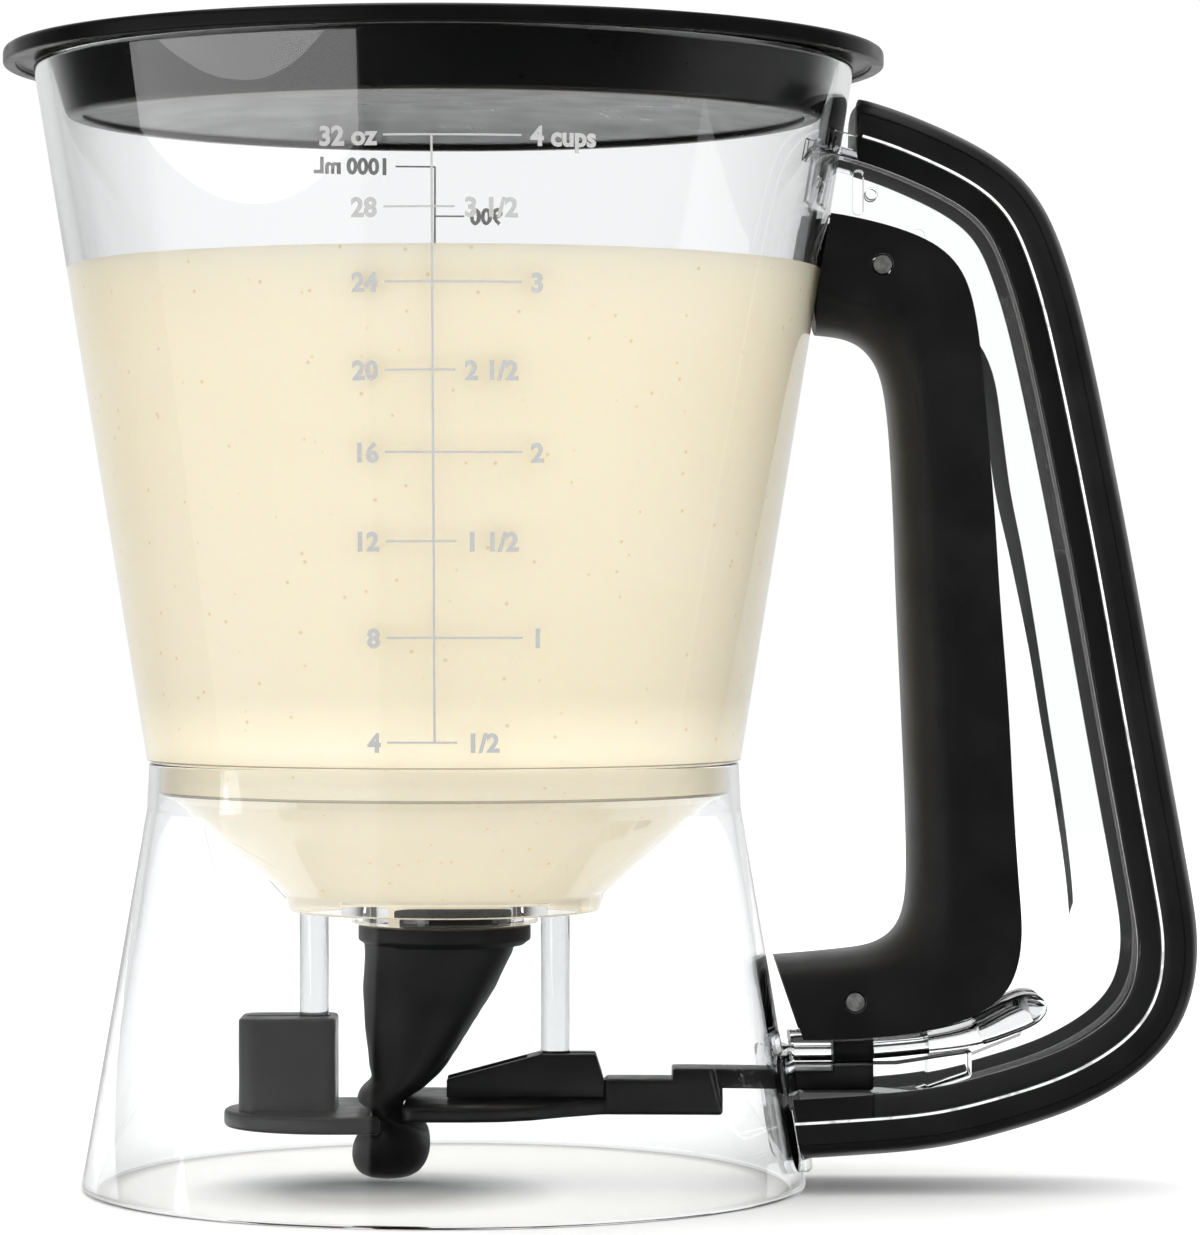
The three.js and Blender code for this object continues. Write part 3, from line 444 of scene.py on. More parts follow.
# Blacks: mottle sets the colour, wear the gloss and grain the fine surface, each as noise scale and detail.
blacks = {
    "softGripBlack": {
        "dark": (0.0045, 0.0045, 0.0048), "light": (0.0085, 0.0085, 0.009), "roughLow": 0.36, "roughHigh": 0.46,
        "mottle": (90, 5), "wear": (140, 3), "grain": (5200, 2), "strength": 0.16, "depth": 0.00006,
        "gloss": {"shine": 0.42, "sheen": 0.04, "sheenRough": 0.4}},
    "leverBlack": {
        "dark": (0.004, 0.004, 0.0042), "light": (0.0075, 0.0075, 0.0078), "roughLow": 0.4, "roughHigh": 0.5,
        "mottle": (110, 5), "wear": (170, 3), "grain": (4200, 2.5), "strength": 0.22, "depth": 0.00007,
        "gloss": {"shine": 0.3, "sheen": 0.16, "sheenRough": 0.4}},
    "mouldedBlack": {
        "dark": (0.0035, 0.0035, 0.0038), "light": (0.0085, 0.0085, 0.009), "roughLow": 0.3, "roughHigh": 0.45,
        "mottle": (140, 4), "wear": (240, 3), "grain": (3000, 2), "strength": 0.14, "depth": 0.00006,
        "gloss": {"shine": 0.4}},
    "siliconeBlack": {
        "dark": (0.0025, 0.0025, 0.0028), "light": (0.009, 0.009, 0.0098), "roughLow": 0.42, "roughHigh": 0.6,
        "mottle": (160, 6, 0.6), "mottleEnds": (0.35, 0.75), "wear": (90, 3), "grain": (900, 3),
        "strength": 0.12, "depth": 0.00015, "gloss": {"shine": 0.3}},
    "lidBlack": {
        "dark": (0.0022, 0.0022, 0.0024), "light": (0.004, 0.004, 0.0042), "roughLow": 0.26, "roughHigh": 0.36,
        "mottle": (60, 4), "wear": (120, 4), "grain": (1400, 2), "strength": 0.03, "depth": 0.00005,
        "gloss": {"shine": 0.22}},
}


def blackPlastic(name):
    look = blacks[name]
    s = Shader(name).set(**look["gloss"])
    ends = look.get("mottleEnds", (0.3, 0.7))
    s.link(s.tint(s.noise(*look["mottle"]), look["dark"], look["light"], *ends), s.main.inputs["Base Color"])
    s.link(s.spread(s.noise(*look["wear"]), look["roughLow"], look["roughHigh"]), s.main.inputs["Roughness"])
    s.bump(s.noise(*look["grain"]), look["strength"], look["depth"])
    return s.material


def pinGrey():
    look = {"dark": (0.13, 0.129, 0.127), "light": (0.3, 0.298, 0.294), "metal": 0.6, "roughLow": 0.35,
            "roughHigh": 0.55}
    s = Shader("pinGrey").set(metal=look["metal"])
    s.link(s.tint(s.noise(900, 3), look["dark"], look["light"]), s.main.inputs["Base Color"])
    s.link(s.spread(s.noise(700, 3), look["roughLow"], look["roughHigh"]), s.main.inputs["Roughness"])
    s.bump(s.noise(2400, 2, stretch=(1, 0.1, 1)), 0.25, 0.00008)
    return s.material


def scaleInk(name, alpha):
    look = {"dark": (0.31, 0.31, 0.308), "light": (0.37, 0.37, 0.365), "rough": 0.5}
    s = Shader(name).set(rough=look["rough"], alpha=alpha)
    s.link(s.tint(s.noise(2600, 3), look["dark"], look["light"]), s.main.inputs["Base Color"])
    return s.material


# Painted highlight: pale opaque colour for the strip along the clear flange's edge.
def paintedEdgeHighlight():
    look = {"dark": (0.5, 0.5, 0.5), "light": (0.86, 0.87, 0.87), "rough": 0.25, "coat": 0.4}
    s = Shader("paintedEdgeHighlight").set(rough=look["rough"], coat=look["coat"])
    s.link(s.tint(s.noise(420, 4), look["dark"], look["light"], 0.36, 0.46), s.main.inputs["Base Color"])
    return s.material


print("stage: materials")
clear = clearPlastic()
# Grey tint on the clear posts, darkest at their edges: painted shade.
clearPostShade = clearPlastic("clearPostShade", 1.0, (0.68, 0.685, 0.69), (0.28, 0.285, 0.29), 0.06, 0.75)
# Less light passes the web's slanted inner face, so it shows whiter.
clearPartlyClear = clearPlastic("clearPartlyClear", 0.7)
# Dark tint on the waist ring's rounded corners: painted shade.
clearCornerShade = clearPlastic("clearCornerShade", 1.0, (0.3, 0.295, 0.285), (0.08, 0.08, 0.08), 0.1, 0.8)
gripBlack = blackPlastic("softGripBlack")
leverBlack = blackPlastic("leverBlack")
mouldedBlack = blackPlastic("mouldedBlack")
siliconeBlack = blackPlastic("siliconeBlack")
lidBlack = blackPlastic("lidBlack")
steel = pinGrey()
ink = scaleInk("scaleInk", 1.0)
inkBehind = scaleInk("scaleInkBehind", 0.66)  # thinner, because light comes through it
flangeHighlightPaint = paintedEdgeHighlight()


# Jug: cone, bowl and outlet collar with two posts and their fins

print("stage: jug")
vesselShape = {
    # Radius, height and corner radius: down the outside, across the outlet and up the inside.
    "profile": [
        (65.5, 179, 0.9), (47.4, 68.2, 0.3), (45.3, 68.2, 0.2), (45.6, 63.1, 0.5), (42.8, 61.7, 2),
        (39.8, 59.5, 4), (37, 56.6, 6), (31, 51.3, 6), (25.5, 46.6, 1.2), (25, 43.9, 0.5), (15, 43.9, 0.4),
        (15, 41.8, 0.4), (11, 41.8, 0.4), (11, 46.9, 0.8), (24.3, 46.9, 2), (30, 53, 6), (35.5, 58.0, 6),
        (39.2, 61.6, 5), (43.2, 65.5, 3), (43.2, 68.5, 3), (63.1, 179, 0.9)],
    "cornerSteps": 5,
    "posts": [(-20.9, 15.6), (17.75, 18.3)],  # place along X and height of the foot
    "postRadius": 2.4, "postTop": 45, "postTurns": 48,
    "leftFin": [
        (-20.9, 45), (-20.9, 15.6), (-31.2, 15.6, 0.6), (-31.3, 27), (-38.6, 57.2), (-36, 57.2), (-25, 45.2)],
    "rightFin": [
        (17.75, 45), (25, 45.2), (36, 57.2), (39.0, 58.6), (32.9, 39.4, 12), (24.9, 20.8), (24.9, 18.3, 0.6),
        (17.75, 18.3)],
    "finThickness": 1.6,
}


def makeJug():
    shell = turned("jug", rounded(vesselShape["profile"], vesselShape["cornerSteps"]))
    radius, top = vesselShape["postRadius"], vesselShape["postTop"]
    parts = []
    for x, foot in vesselShape["posts"]:
        parts.append(turned("post", rounded([(0, top), (radius, top), (radius, foot, 0.5), (0, foot)]),
                            vesselShape["postTurns"], (x, 0)))
    half = vesselShape["finThickness"] / 2
    parts += [slab(name, rounded(vesselShape[name]), -half, half) for name in ("leftFin", "rightFin")]
    return fused(shell, parts, 30)


def onPost(x, y, z):
    reach = vesselShape["postRadius"] + 0.1
    return z < 43.8 and any(math.hypot(x - postX, y) < reach for postX, foot in vesselShape["posts"])


# The rounded corners of the waist ring take a dark tint: painted shade for the two thin dark lines that they
# show.
def onShadedCorner(x, y, z):
    reach = math.hypot(x, y)
    return (reach > 47.02 and 68.1 < z < 68.6) or (reach > 45.0 and 62.5 < z < 63.7)


dressed(evened(makeJug()), clear, "jug", "vessel", [(clearPostShade, onPost), (clearCornerShade, onShadedCorner)])


# Skirt: flared stand with the collar that grips the jug and a window for the slider's tongue

print("stage: skirt")
skirtShape = {
    "profile": [
        (55.6, 0, 0.5), (57.9, 0, 0.9), (47.4, 60.5, 6), (47.05, 67.9, 0.4), (45.57, 67.9, 0.3),
        (45.9, 60.6, 6)],
    "window": [(-4.3, 15.4, 0.8), (4.3, 15.4, 0.8), (4.3, 19.1, 0.8), (-4.3, 19.1, 0.8)],
    "windowReach": (48, 70),
}


def makeSkirt():
    shell = turned("skirt", rounded(skirtShape["profile"]))
    window = slab("window", rounded(skirtShape["window"]), *skirtShape["windowReach"], "yz")
    return carved(shell, [window], 30)


dressed(evened(makeSkirt()), clear, "jug", "base_skirt")


# Printed scales: fluid ounces and cups in front, millilitres behind

print("stage: printed scales")
scale = {
    "ink": 0.045, "bite": -0.01,  # height over the wall, and depth in it
    "line": 0.34, "tick": 0.3, "cell": (0.8, 8),  # cell: the faces of a bar, along the wall and up it
    "size": 3.9, "bold": 0.15, "drop": 0.36, "letterSteps": 3,
    "left": 7.2, "longRight": 13.4, "shortRight": 3.4, "leftGap": 1.0, "rightGap": 1.4,
    "front": [(162.6, "32 oz", "4 cups"), (152.1, "28", "3 1/2"), (141.1, "24", "3"), (128.1, "20", "2 1/2"),
              (115.9, "16", "2"), (102.6, "12", "1 1/2"), (88.1, "8", "1"), (72.3, "4", "1/2")],
    "behind": [167.2, 158.6, 149.5, 140.0, 129.1, 118.7, 107.7, 95.9, 83.2, 69.9],
    "behindShift": 3.7, "behindLeft": 5.2, "behindRight": 7.0, "behindGap": 1.0,
}


# The scales are drawn flat, with X along the wall, Y out of it and Z up it.
def inkBars(places, width, height, material):
    middle, thickness = (scale["ink"] + scale["bite"]) / 2, scale["ink"] - scale["bite"]
    cellWidth, cellHeight = scale["cell"]
    points = newObject("inkBars", [(x * mm, middle * mm, z * mm) for x, z in places])
    across, up = max(1, round(width / cellWidth)), max(1, round(height / cellHeight))
    size = Vector((width, thickness, height)) * mm
    return blocks.grow(points, material, Size=size, Columns=across + 1, Rows=up + 1)


def inkWords(text, x, z, align):
    curve = bpy.data.curves.new("words", "FONT")
    curve.body = text
    curve.size = scale["size"]
    curve.align_x = align
    curve.offset = scale["bold"]
    curve.extrude = 0.5  # any depth, only to tell a letter's face from its back
    curve.resolution_u = scale["letterSteps"]
    obj = bpy.data.objects.new("words", curve)
    bpy.context.scene.collection.objects.link(obj)
    flat = bpy.data.meshes.new_from_object(obj.evaluated_get(bpy.context.evaluated_depsgraph_get()))
    low = z - scale["size"] * scale["drop"]
    points = [Vector((x + v.co.x, scale["ink" if v.co.z > 0 else "bite"], low + v.co.y)) * mm
              for v in flat.vertices]
    words = newObject("inkWords", points, [], [tuple(p.vertices) for p in flat.polygons])
    bpy.data.objects.remove(obj)
    bpy.data.curves.remove(curve)
    bpy.data.meshes.remove(flat)
    return words


# Joins the flat parts and lays them on the front or the back of the cone.
def printed(name, parts, side, material):
    bm = bmesh.new()
    for part in parts:
        bm.from_mesh(part.data)
        bpy.data.objects.remove(part)
    drawing = newObject(name, [])
    bm.to_mesh(drawing.data)
    bm.free()
    flare = (jug["rimRadius"] - jug["waistRadius"]) / (jug["rimZ"] - jug["stepZ"])
    wrapping.grow(drawing, material, 30, Radius=jug["waistRadius"] * mm, Foot=jug["stepZ"] * mm, Flare=flare,
                  Side=side, Centre=place(0, 0, 0))
    return dressed(drawing, material, "jug")


def inkLine(x, heights, material):
    low, high = min(heights), max(heights)
    return inkBars([(x, (low + high) / 2)], scale["line"], high - low, material)


def makeFrontScale():
    left, heights = scale["left"], [z for z, ounces, cups in scale["front"]]
    parts = [inkLine(0, heights, ink)]
    for first, right in enumerate((scale["longRight"], scale["shortRight"])):
        places = [((right - left) / 2, z) for z in heights[first::2]]
        parts.append(inkBars(places, left + right, scale["tick"], ink))
        for z, ounces, cups in scale["front"][first::2]:
            parts.append(inkWords(ounces, -left - scale["leftGap"], z, "RIGHT"))
            parts.append(inkWords(cups, right + scale["rightGap"], z, "LEFT"))
    return printed("frontScale", parts, -1.0, ink)


def makeBackScale():
    shift, heights = scale["behindShift"], scale["behind"]
    parts = [inkLine(shift, heights, inkBehind)]
    sides = (0, 1, scale["behindRight"], "LEFT"), (1, -1, scale["behindLeft"], "RIGHT")
    for first, sign, reach, align in sides:
        places = [(shift + sign * reach / 2, z) for z in heights[first::2]]
        parts.append(inkBars(places, reach, scale["tick"], inkBehind))
        for i in range(first, len(heights), 2):
            text = str(1000 - 100 * i) + (" mL" if i in (0, 5) else "")
            parts.append(inkWords(text, shift + sign * (reach + scale["behindGap"]), heights[i], align))
    return printed("backScale", parts, 1.0, inkBehind)


makeFrontScale()
makeBackScale()


# Lid: plug with an overhanging rim

print("stage: lid")
lidShape = {
    "domeRadius": 57.0, "domeRise": 4.2, "domeSteps": (0, 0.2, 0.35, 0.5, 0.62, 0.74, 0.84, 0.92),
    "under": 169.8, "over": 171.8,
    "rim": [
        (57.2, 169.7, 0.6), (60.0, 169.7, 1.2), (62.6, 178.6, 0.4), (62.9, 179.3, 0.4), (68.2, 179.3, 0.3),
        (68.2, 178.6, 0.25), (70.2, 178.6, 0.5), (70.2, 181.3, 1.1), (62.8, 181.3, 0.9), (60.6, 180.2, 1.0),
        (58.2, 172.0, 1.0)],
    "cornerSteps": 6, "turns": 256,
}


def dome(z):
    radius, rise = lidShape["domeRadius"], lidShape["domeRise"]
    return [(radius * t, z + rise * (1 - t ** 4)) for t in lidShape["domeSteps"]]


def makeLid():
    rim = rounded(lidShape["rim"], lidShape["cornerSteps"])
    profile = dome(lidShape["under"]) + rim + list(reversed(dome(lidShape["over"])))
    return turned("lid", profile, lidShape["turns"], sharp=30)


dressed(evened(makeLid()), lidBlack, "cover", "lid")


# Handle: flange, web, saddles, arm, rail, grip

print("stage: handle")
handle = {
    "line": [(60, 168.2), (68.8, 165.8), (76.5, 162.7), (83.1, 159.4), (88.2, 155.4), (91.4, 149.4),
             (95.5, 135.8), (101.8, 105.3), (107.6, 73), (112.4, 46.5), (113.4, 39), (112.2, 30.9),
             (107.8, 24.9), (99.1, 19.5), (88.6, 15.9), (77.5, 13.2), (64, 12.0), (50, 11.2)],
    "flange": 2.2, "deep": 3.8,  # the flange's thickness in the middle and at its lips
    "halfWidth": 15.0, "lip": 0.9, "skin": 0.2, "bead": 1.2, "webHalf": 2.5, "slope": 5.5,
    "pivot": (69.5, 146.7), "link": (65.2, 30.3), "bossRadius": 5.6, "pinHole": 1.8,
    # Inner edge of the web, with the width of its slanted face last.
    "webEdge": [(77.8, 139.5, 0.5), (82.6, 136.4, 1.4), (85.4, 130, 2.4), (86.7, 120, 2.7), (88.0, 110.5, 2.7),
                (90.3, 100.5, 2.4), (93.3, 86, 1.8), (95.2, 74.6, 1.6), (97.4, 62, 1.4), (99.2, 49.5, 1.2),
                (99.8, 41, 1.0), (99.1, 37.5, 0.9), (97, 34.3, 0.8), (94.4, 32.0, 0.5)],
    "webSteps": 70,
    "webTop": [(58, 157.2), (62.3, 154.8)],
    "webTail": [(92, 24.2), (84, 21.0), (72, 19.8), (44, 19.6)],
    "arm": [(44, 20.2), (72, 20.45), (84, 22.3), (84, 17.8), (72, 13.8), (44, 12.4)], "armHalf": 5.9,
    # Half the section of the flange's thick upper end: out from the line, across, and corner radius.
    "shoulder": [(-1.5, 15), (3.4, 15.5, 1.2), (5.6, 12, 3)], "shoulderTop": (6.7, 0, 20), "shoulderEnd": 64.6,
    # X, Z, radius, reach across and turns of the bump on the web and of the spring's peg.
    "bump": (68.2, 158.5, 1.05, -2.9, 2.9, 28), "peg": (75.8, 152.0, 1.2, 0, 4.75, 24),
    "channel": (30, 77.1, -4.4, 4.4, 15.4, 40),
    "slot": [(65.3, 155.3, 0.8), (67.0, 155.3, 0.8), (67.0, 162.4, 0.8), (65.3, 162.4, 0.8)],
    "upperSaddle": {"footZ": 156.2, "height": 17.5, "width": 35, "thickness": 2.4},
    "lowerSaddle": {"footZ": 3.5, "height": 18.5, "width": 30, "thickness": 1.3},
    "saddleCorner": 3.5, "saddleReach": (40, 90),
    # What is cut off the upper saddle above the flange: its foot, its end, its top and its spare width.
    "seatFoot": 0.05, "seatEnd": 69, "seatTop": 190, "seatSpare": 0.95,
}
handleLine = flowing(handle["line"], 180, relax=12)


def fromX(line, x):
    for i, p in enumerate(line):
        if p.x >= x:
            return line[i:]
    return line


def makeSaddle(footZ, height, width, thickness):
    corner, top = handle["saddleCorner"], footZ + height
    outline = rounded([(-width / 2, footZ, corner), (width / 2, footZ, corner), (width / 2, top, corner),
                       (-width / 2, top, corner)], 8)
    plate = slab("saddle", outline, *handle["saddleReach"], "yz")
    return combine(plate, [insideWall(jug["gap"] + thickness)], "INTERSECT")


def makeFlange():
    half, t, deep, slope = handle["halfWidth"], handle["flange"], handle["deep"], handle["slope"]
    lip, skin = half - handle["lip"], t - handle["skin"]
    return sweep("handleFrame", handleLine, rounded([
        (0, -half, 0.8), (-deep, -half, 0.7), (-deep, handle["bead"] - half, 0.5), (-t, slope - half, 2),
        (-t, half - slope, 2), (-deep, half - handle["bead"], 0.5), (-deep, half, 0.7), (0, half, 0.8),
        (0, lip), (handle["skin"] - deep, lip), (-skin, half - slope), (-skin, slope - half),
        (handle["skin"] - deep, -lip), (0, -lip)], 4))


# Two outlines of the web, one for each side; they differ by the slant of its inner edge.
def makeWeb():
    middle = handle["flange"] / 2
    back = [(p.x - n.x * middle, p.y - n.y * middle) for p, n in stations(handleLine)]
    px, pz = handle["pivot"]
    boss = []
    for turn in range(165, 321, 12):
        angle = math.radians(turn)
        boss.append((px + handle["bossRadius"] * math.cos(angle), pz + handle["bossRadius"] * math.sin(angle)))
    edge = flowing(handle["webEdge"], handle["webSteps"], relax=2)
    front = handle["webTop"] + boss + [(p.x, p.y) for p in edge]
    behind = handle["webTop"] + boss
    last = handle["webSteps"] - 1
    for i, p in enumerate(edge):
        along = (edge[min(i + 1, last)] - edge[max(i - 1, 0)]).xy.normalized()
        behind.append((p.x - along.y * p.z, p.y + along.x * p.z))
    outline = lambda inner: back + [(44, 11)] + list(reversed(inner + handle["webTail"]))
    return loft("web", [[(x, side, z) for x, z in outline(inner)]
                        for side, inner in ((-handle["webHalf"], front), (handle["webHalf"], behind))])


def makeShoulder():
    side = handle["shoulder"]
    section = [(out, -across, *corner) for out, across, *corner in side]
    section += [handle["shoulderTop"], *reversed(side)]
    return sweep("shoulder", [p for p in handleLine if p.x < handle["shoulderEnd"]], rounded(section, 5))


def makeHandleFrame():
    half = handle["halfWidth"]
    arm = softened(slab("arm", handle["arm"], -handle["armHalf"], handle["armHalf"]), 0.6, 3, 50)
    slot = slab("slot", rounded(handle["slot"], 6), -30, 30)
    bump = softened(rod("bump", *handle["bump"]), 0.3, 3)
    peg = rod("peg", *handle["peg"])
    hole = rod("hole", *handle["pivot"], handle["pinHole"], -30, 30)
    foot, end, top, spare = (handle["seat" + key] for key in ("Foot", "End", "Top", "Spare"))
    over = [(p.x + n.x * foot, p.y + n.y * foot) for p, n in stations(handleLine) if p.x < end]
    seat = slab("seat", over + [(end, top), (over[0][0], top)], -half - spare, half + spare)
    body = fused(makeFlange(), [
        makeWeb(), makeShoulder(), arm, bump, peg, carved(makeSaddle(**handle["upperSaddle"]), [seat]),
        makeSaddle(**handle["lowerSaddle"])])
    return carved(body, [insideWall(jug["gap"]), box("channel", *handle["channel"]), slot, hole], 34)


rail = {
    # X, Z and half the thickness along the rail.
    "line": [(44, 22.5, 1.95), (56, 22.55, 1.95), (66, 22.75, 1.95), (76, 23.6, 1.95), (84, 25.0, 2.25),
             (90, 27.4, 2.7), (93.2, 28.8, 2.6), (94.9, 29.6, 1.7), (95.5, 29.9, 0.6)],
    "halfWidth": 8.5, "steps": 90, "roundSteps": 16,
    "riserSlot": (30, 77.1, -4.4, 4.4, 0, 60), "webSlot": (85.3, 120, -2.8, 2.8, 0, 60), "wallGap": 1.9,
}


def makeRail():
    centre = flowing(rail["line"], rail["steps"])
    rings = []
    for (p, n), half in zip(stations([c.xy for c in centre]), [c.z for c in centre]):
        ring = []
        for i in range(rail["roundSteps"] + 1):
            angle = math.pi * (i / rail["roundSteps"] - 0.5)
            ring.append((half * math.sin(angle), -rail["halfWidth"] + half * (1 - math.cos(angle))))
        ring += [(out, -side) for out, side in reversed(ring)]
        rings.append([(p.x + n.x * out, side, p.y + n.y * out) for out, side in ring])
    return carved(loft("slideRail", rings), [
        box("riserSlot", *rail["riserSlot"]), box("webSlot", *rail["webSlot"]), insideWall(rail["wallGap"])])


trim = {"startX": 65.4, "low": -0.12, "high": 0.26, "inside": 0.3, "proud": 0.62, "corner": 0.1,
        "wallGap": 1.75}


# Painted highlight: a pale opaque strip along the clear flange's edge, seen as a fine bright line beside the
# pad.
def makeFlangeHighlight():
    line = fromX(handleLine, trim["startX"])
    inner, outer = handle["halfWidth"] - trim["inside"], handle["halfWidth"] + trim["proud"]
    strips = []
    for side in (-1, 1):
        section = rounded([(trim["low"], side * inner), (trim["low"], side * outer, trim["corner"]),
                           (trim["high"], side * outer, trim["corner"]), (trim["high"], side * inner)], 3)
        strips.append(sweep("flangeHighlightStrip", line, section))
    return carved(fused(strips[0], strips[1:]), [insideWall(trim["wallGap"])], 40)


grip = {
    # Half the pad's section: out from the flange, and across.
    "side": [(-0.05, -15.2), (0.3, -15.45), (1.8, -15.75), (3.3, -15.85), (3.5, -15.6), (3.7, -15.8),
             (4.6, -15.1), (5.3, -13.6), (5.85, -11.2), (6.3, -8.2), (6.7, -4.2), (6.9, 0)],
    "play": 0.03, "startX": 65.3, "lead": 1.6, "topZ": 166.8, "upright": 14, "wallGap": 1.75,
    "swell": [(0, 0.8), (0.06, 0.9), (0.18, 0.97), (0.4, 1.0)],
}


# The pad's upper end is cut upright and rounded over; the rest of the sweep stays square to its line.
def makeGrip():
    play, deep = grip["play"], handle["skin"] - handle["deep"]
    edge = handle["halfWidth"] - handle["lip"] + play
    core = [(0.0, edge), (deep - play, edge),
            (handle["skin"] - handle["flange"] - play, handle["halfWidth"] - handle["slope"])]
    mirrored = lambda half: [(out, -across) for out, across in reversed(half)]
    section = grip["side"] + mirrored(grip["side"][:-1]) + core + mirrored(core)
    start = grip["startX"]
    places = stations(fromX(handleLine, start + grip["lead"]))
    first = Vector((start, grip["topZ"] + (places[0][0].y - grip["topZ"]) * 0.1))
    lead = places[0][0] - first
    slope = Vector((-lead.y, lead.x)).normalized()
    eased = [(first + lead * t, slope, swell) for t, swell in grip["swell"]]
    rings = []
    for p, n, swell in eased + [(p, n, 1.0) for p, n in places]:
        upright = max(0.0, 1 - (p.x - start) / grip["upright"]) if p.y > 100 else 0.0
        up = Vector((0, 1 / n.y)) if n.y > 0.2 else n
        axis = n.lerp(up, upright)
        rings.append([(p.x + axis.x * out * swell, across * (0.9 + 0.1 * swell), p.y + axis.y * out * swell)
                      for out, across in section])
    return carved(loft("handleGrip", rings, sharp=55), [insideWall(grip["wallGap"])], 40)


webLine = resampled([Vector(p).xy for p in handle["webEdge"]], 60)


def onWebEdge(x, y, z):
    return abs(y) < handle["webHalf"] - 0.01 and any(math.hypot(x - p.x, z - p.y) < 2.9 for p in webLine)


dressed(evened(makeHandleFrame()), clear, "jug", "handle_frame",
        [(clearPartlyClear, onWebEdge)])
dressed(evened(makeRail()), clear, "jug", "slide_rail")
dressed(makeFlangeHighlight(), flangeHighlightPaint, "jug")
dressed(makeGrip(), gripBlack, "jug", "handle_grip")


# Lever: hollow U section along a bent line

print("stage: lever")
leverShape = {
    "finger": [(56.5, 136.3), (60.5, 136.0), (64.2, 135.4), (66.9, 134.0), (68.9, 131.6), (70.0, 128.5),
               (70.8, 123.5), (71.4, 116), (71.9, 105.5), (72.3, 93.8), (73.0, 78), (73.7, 62), (73.9, 51),
               (73.6, 45.5), (72.6, 42.2), (71.0, 40.2), (68.4, 38.8), (65.5, 38.2), (61.0, 37.7),
               (56.8, 37.3), (52.6, 37.0)],
    "back": [(59.5, 155.0), (63.1, 154.6), (71.5, 152.6), (78.0, 149.9), (81.8, 146.3), (83.6, 141.6),
             (84.8, 134.5), (85.8, 123.5), (87.1, 108.0), (88.0, 94.0), (89.3, 77), (90.2, 60), (91.0, 48.5),
             (91.5, 41.6), (90.9, 35.8), (88.6, 31.0), (83.4, 27.9), (77.0, 25.8), (69.0, 24.8),
             (62.5, 24.4), (57.0, 24.3)],
    "halfWidth": 12.0, "wall": 2.0, "stations": 170, "noseSteps": 24, "nosePower": 0.8,
    "ribs": (0.36, 0.47, 0.58), "ribHalf": 0.7, "ribDepth": 6.2, "ribReach": 11.5,
    "gusset": [(52.6, 37), (54.0, 31.8), (56.8, 29.3), (59.6, 29.3), (59.6, 37)],
    "bossRadius": 4.0, "bossFrom": 8.6, "bossTo": 11, "pinHole": 1.75, "wallGap": 0.9,
}


# One curve through both edges at once, so that their stations stay paired.
def leverLines():
    paired = [Vector((*f, *b)) for f, b in zip(leverShape["finger"], leverShape["back"])]
    even = flowing(paired, leverShape["stations"], relax=10)
    return [(Vector((p[0], p[1])), Vector((p[2], p[3]))) for p in even]


def leverSection(depth, inset):
    half, nose = leverShape["halfWidth"] - inset, depth * 0.5
    steps, power = leverShape["noseSteps"], leverShape["nosePower"]
    made = [(0, half), (depth - nose, half)]
    for i in range(1, steps):
        t = math.pi * i / steps
        lift = math.sin(t) ** power
        across = math.copysign(abs(math.cos(t)) ** power, math.cos(t))
        made.append((depth - nose + (nose - inset) * lift, half * across))
    return made + [(depth - nose, -half), (0, -half)]


# The ribs stand on the finger side and face the back.
def makeRibs(lines):
    depth, reach, half = leverShape["ribDepth"], leverShape["ribReach"], leverShape["ribHalf"]
    feet = [lines[round(share * (len(lines) - 1))] for share in leverShape["ribs"]]
    inward = [(back - finger).normalized() for finger, back in feet]
    middles = [finger + way * depth / 2 for (finger, back), way in zip(feet, inward)]
    ribs = newObject("ribs", [place(p.x, 0, p.y) for p in middles])
    facing = ribs.data.attributes.new("facing", "FLOAT_VECTOR", "POINT")
    for item, way in zip(facing.data, inward):
        item.vector = (way.x, 0, way.y)
    blocks.grow(ribs, leverBlack, Size=Vector((depth, reach * 2, half * 2)) * mm, Columns=2, Rows=2)
    return [ribs, slab("gusset", leverShape["gusset"], -half, half)]


def makeLever():
    rings, solid = [], []
    lines = leverLines()
    for finger, back in lines:
        out = finger - back
        depth = out.length
        out.normalize()
        section = leverSection(depth, 0)
        hollow = list(reversed(leverSection(depth, leverShape["wall"])))
        at = lambda a, side: (back.x + out.x * a, side, back.y + out.y * a)
        rings.append([at(a, side) for a, side in section + hollow])
        solid.append([at(a, side) for a, side in leverSection(depth, leverShape["wall"] * 0.3)])
    shell = loft("triggerLever", rings, sharp=50)
    envelope = loft("envelope", solid)
    inside = makeRibs(lines)
    pins = (handle["pivot"], handle["link"])
    near, far = leverShape["bossFrom"], leverShape["bossTo"]
    for x, z in pins:
        for y0, y1 in ((near, far), (-far, -near)):
            inside.append(rod("boss", x, z, leverShape["bossRadius"], y0, y1))
    whole = fused(shell, [combine(fused(inside[0], inside[1:]), [envelope], "INTERSECT")])
    holes = [rod("hole", x, z, leverShape["pinHole"], -20, 20) for x, z in pins]
    return carved(whole, holes + [insideWall(leverShape["wallGap"])], 42)


dressed(makeLever(), leverBlack, "lever", "trigger_lever")


pinShape = {"radius": 1.5, "half": 11.75, "turns": 48, "corner": 0.2}


def makePin(name, x, z):
    pin = rod(name, x, z, pinShape["radius"], -pinShape["half"], pinShape["half"], pinShape["turns"])
    return softened(pin, pinShape["corner"], 3, 50)


dressed(makePin("pivotPin", *handle["pivot"]), steel, "jug", "pivot_pin")
dressed(makePin("linkPin", *handle["link"]), steel, "lever", "link_pin")


# Torsion spring round the pivot pin

spring = {"wire": 0.45, "pitch": 1.37, "radius": 3.3, "turns": 3.25, "steps": 28, "sides": 10, "startY": 3.25,
          "longLeg": 7.8, "shortLeg": 5}


